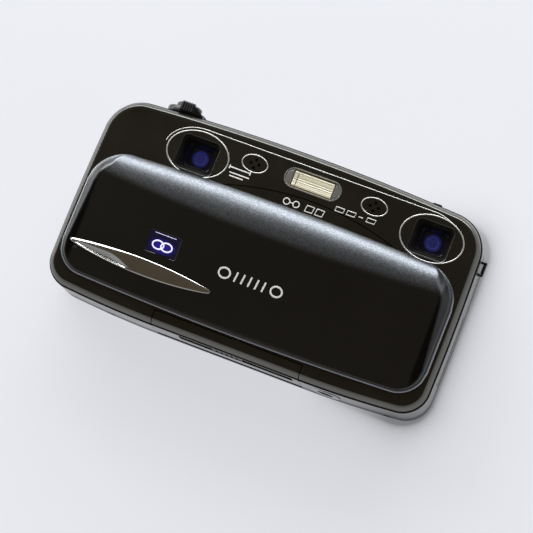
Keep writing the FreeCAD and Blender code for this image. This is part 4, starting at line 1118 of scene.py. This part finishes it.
def stage():
    """A floor under the case, and a board close behind it with an opening that the case hides."""
    pale = pale_card()
    reach, clearance = 1.6, 0.0002
    square = [(-reach, -reach), (reach, -reach), (reach, reach), (-reach, reach)]
    opening = [(-0.052, 0.008), (0.052, 0.008), (0.052, 0.056), (-0.052, 0.056)]
    corners = [(x, BACK * MM + clearance, z) for x, z in square + opening]
    board("back_board", corners, [(0, 1, 5, 4), (1, 2, 6, 5), (2, 3, 7, 6), (3, 0, 4, 7)], pale)
    floor = board("floor", [(x, y, -clearance) for x, y in square], [(0, 1, 2, 3)], pale)
    floor.visible_diffuse = False
    floor.visible_glossy = False


stage()


def soft_light(name, place, size, power, color=(1, 1, 1)):
    data = bpy.data.lights.new(name, "AREA")
    data.shape = "DISK"
    data.size = size
    data.energy = power
    data.color = color
    light = bpy.data.objects.new(name, data)
    light.location = place
    aim = Vector((0, 0, 0.033)) - Vector(place)     # at the middle of the case
    light.rotation_mode = "QUATERNION"
    light.rotation_quaternion = aim.to_track_quat("-Z", "Y")
    bpy.context.scene.collection.objects.link(light)


soft_light("key_left", (-1.5, -0.8, 1.2), 1.5, 24, (1.0, 0.99, 0.97))
soft_light("sky_above", (-0.25, -0.05, 1.4), 1.9, 66, (0.90, 0.955, 1.0))
soft_light("back_soft", (0.5, 1.5, 1.3), 1.1, 34)
soft_light("side_left", (-1.5, 0.30, 0.42), 0.8, 14, (1.0, 0.98, 0.94))


def studio_air():
    """Dim and warm straight ahead of the lenses, brighter towards the horizon round the board."""
    world = bpy.data.worlds.new("studio")
    world.use_nodes = True
    air = Nodes(world.node_tree)
    where = air.add("ShaderNodeTexCoord", out="Generated")
    ahead = air.add("ShaderNodeSeparateXYZ", None, {"Vector": where}, "Y") * -0.5 + 0.5
    stops = [(0.0, (0.10, 0.11, 0.12)), (0.22, (0.20, 0.21, 0.22)), (0.46, (0.55, 0.57, 0.60)),
             (0.625, (0.46, 0.47, 0.50)), (0.775, (0.24, 0.24, 0.24)), (0.90, (0.11, 0.10, 0.085)),
             (0.965, (0.075, 0.060, 0.042)), (1.0, (0.070, 0.055, 0.038))]
    background = world.node_tree.nodes["Background"].inputs
    air.put(background["Color"], air.add("ShaderNodeValToRGB", {"stops": stops}, {"Fac": ahead}))
    air.put(background["Strength"], 1.0)
    bpy.context.scene.world = world


studio_air()


def main_view():
    """A long lens, a little below and to the right of straight ahead, and rolled."""
    azimuth, elevation, roll, reach = math.radians(10.676), math.radians(-8.527), math.radians(21.856), 700.0
    centre = Vector((0, 0, 32.406))
    level_out = math.cos(elevation)
    out = Vector((math.sin(azimuth) * level_out, -math.cos(azimuth) * level_out, math.sin(elevation)))
    level = (-out).cross(Vector((0, 0, 1))).normalized()
    upright = level.cross(-out).normalized()
    right = math.cos(roll) * level + math.sin(roll) * upright
    up = -math.sin(roll) * level + math.cos(roll) * upright
    place = centre + reach * out
    aim = centre - 0.73 * right - 2.57 * up
    forward = (aim - place).normalized()
    side = forward.cross(up).normalized()
    up = side.cross(forward)
    data = bpy.data.cameras.new("view")
    data.lens = 157.4
    data.sensor_width = 36.0
    data.clip_start = 0.05
    data.clip_end = 20.0
    camera = bpy.data.objects.new("view", data)
    turn = Matrix((side, up, -forward)).transposed().to_4x4()
    camera.matrix_world = Matrix.Translation(place * MM) @ turn
    bpy.context.scene.collection.objects.link(camera)
    bpy.context.scene.camera = camera


main_view()
bpy.context.scene.view_settings.view_transform = "Standard"
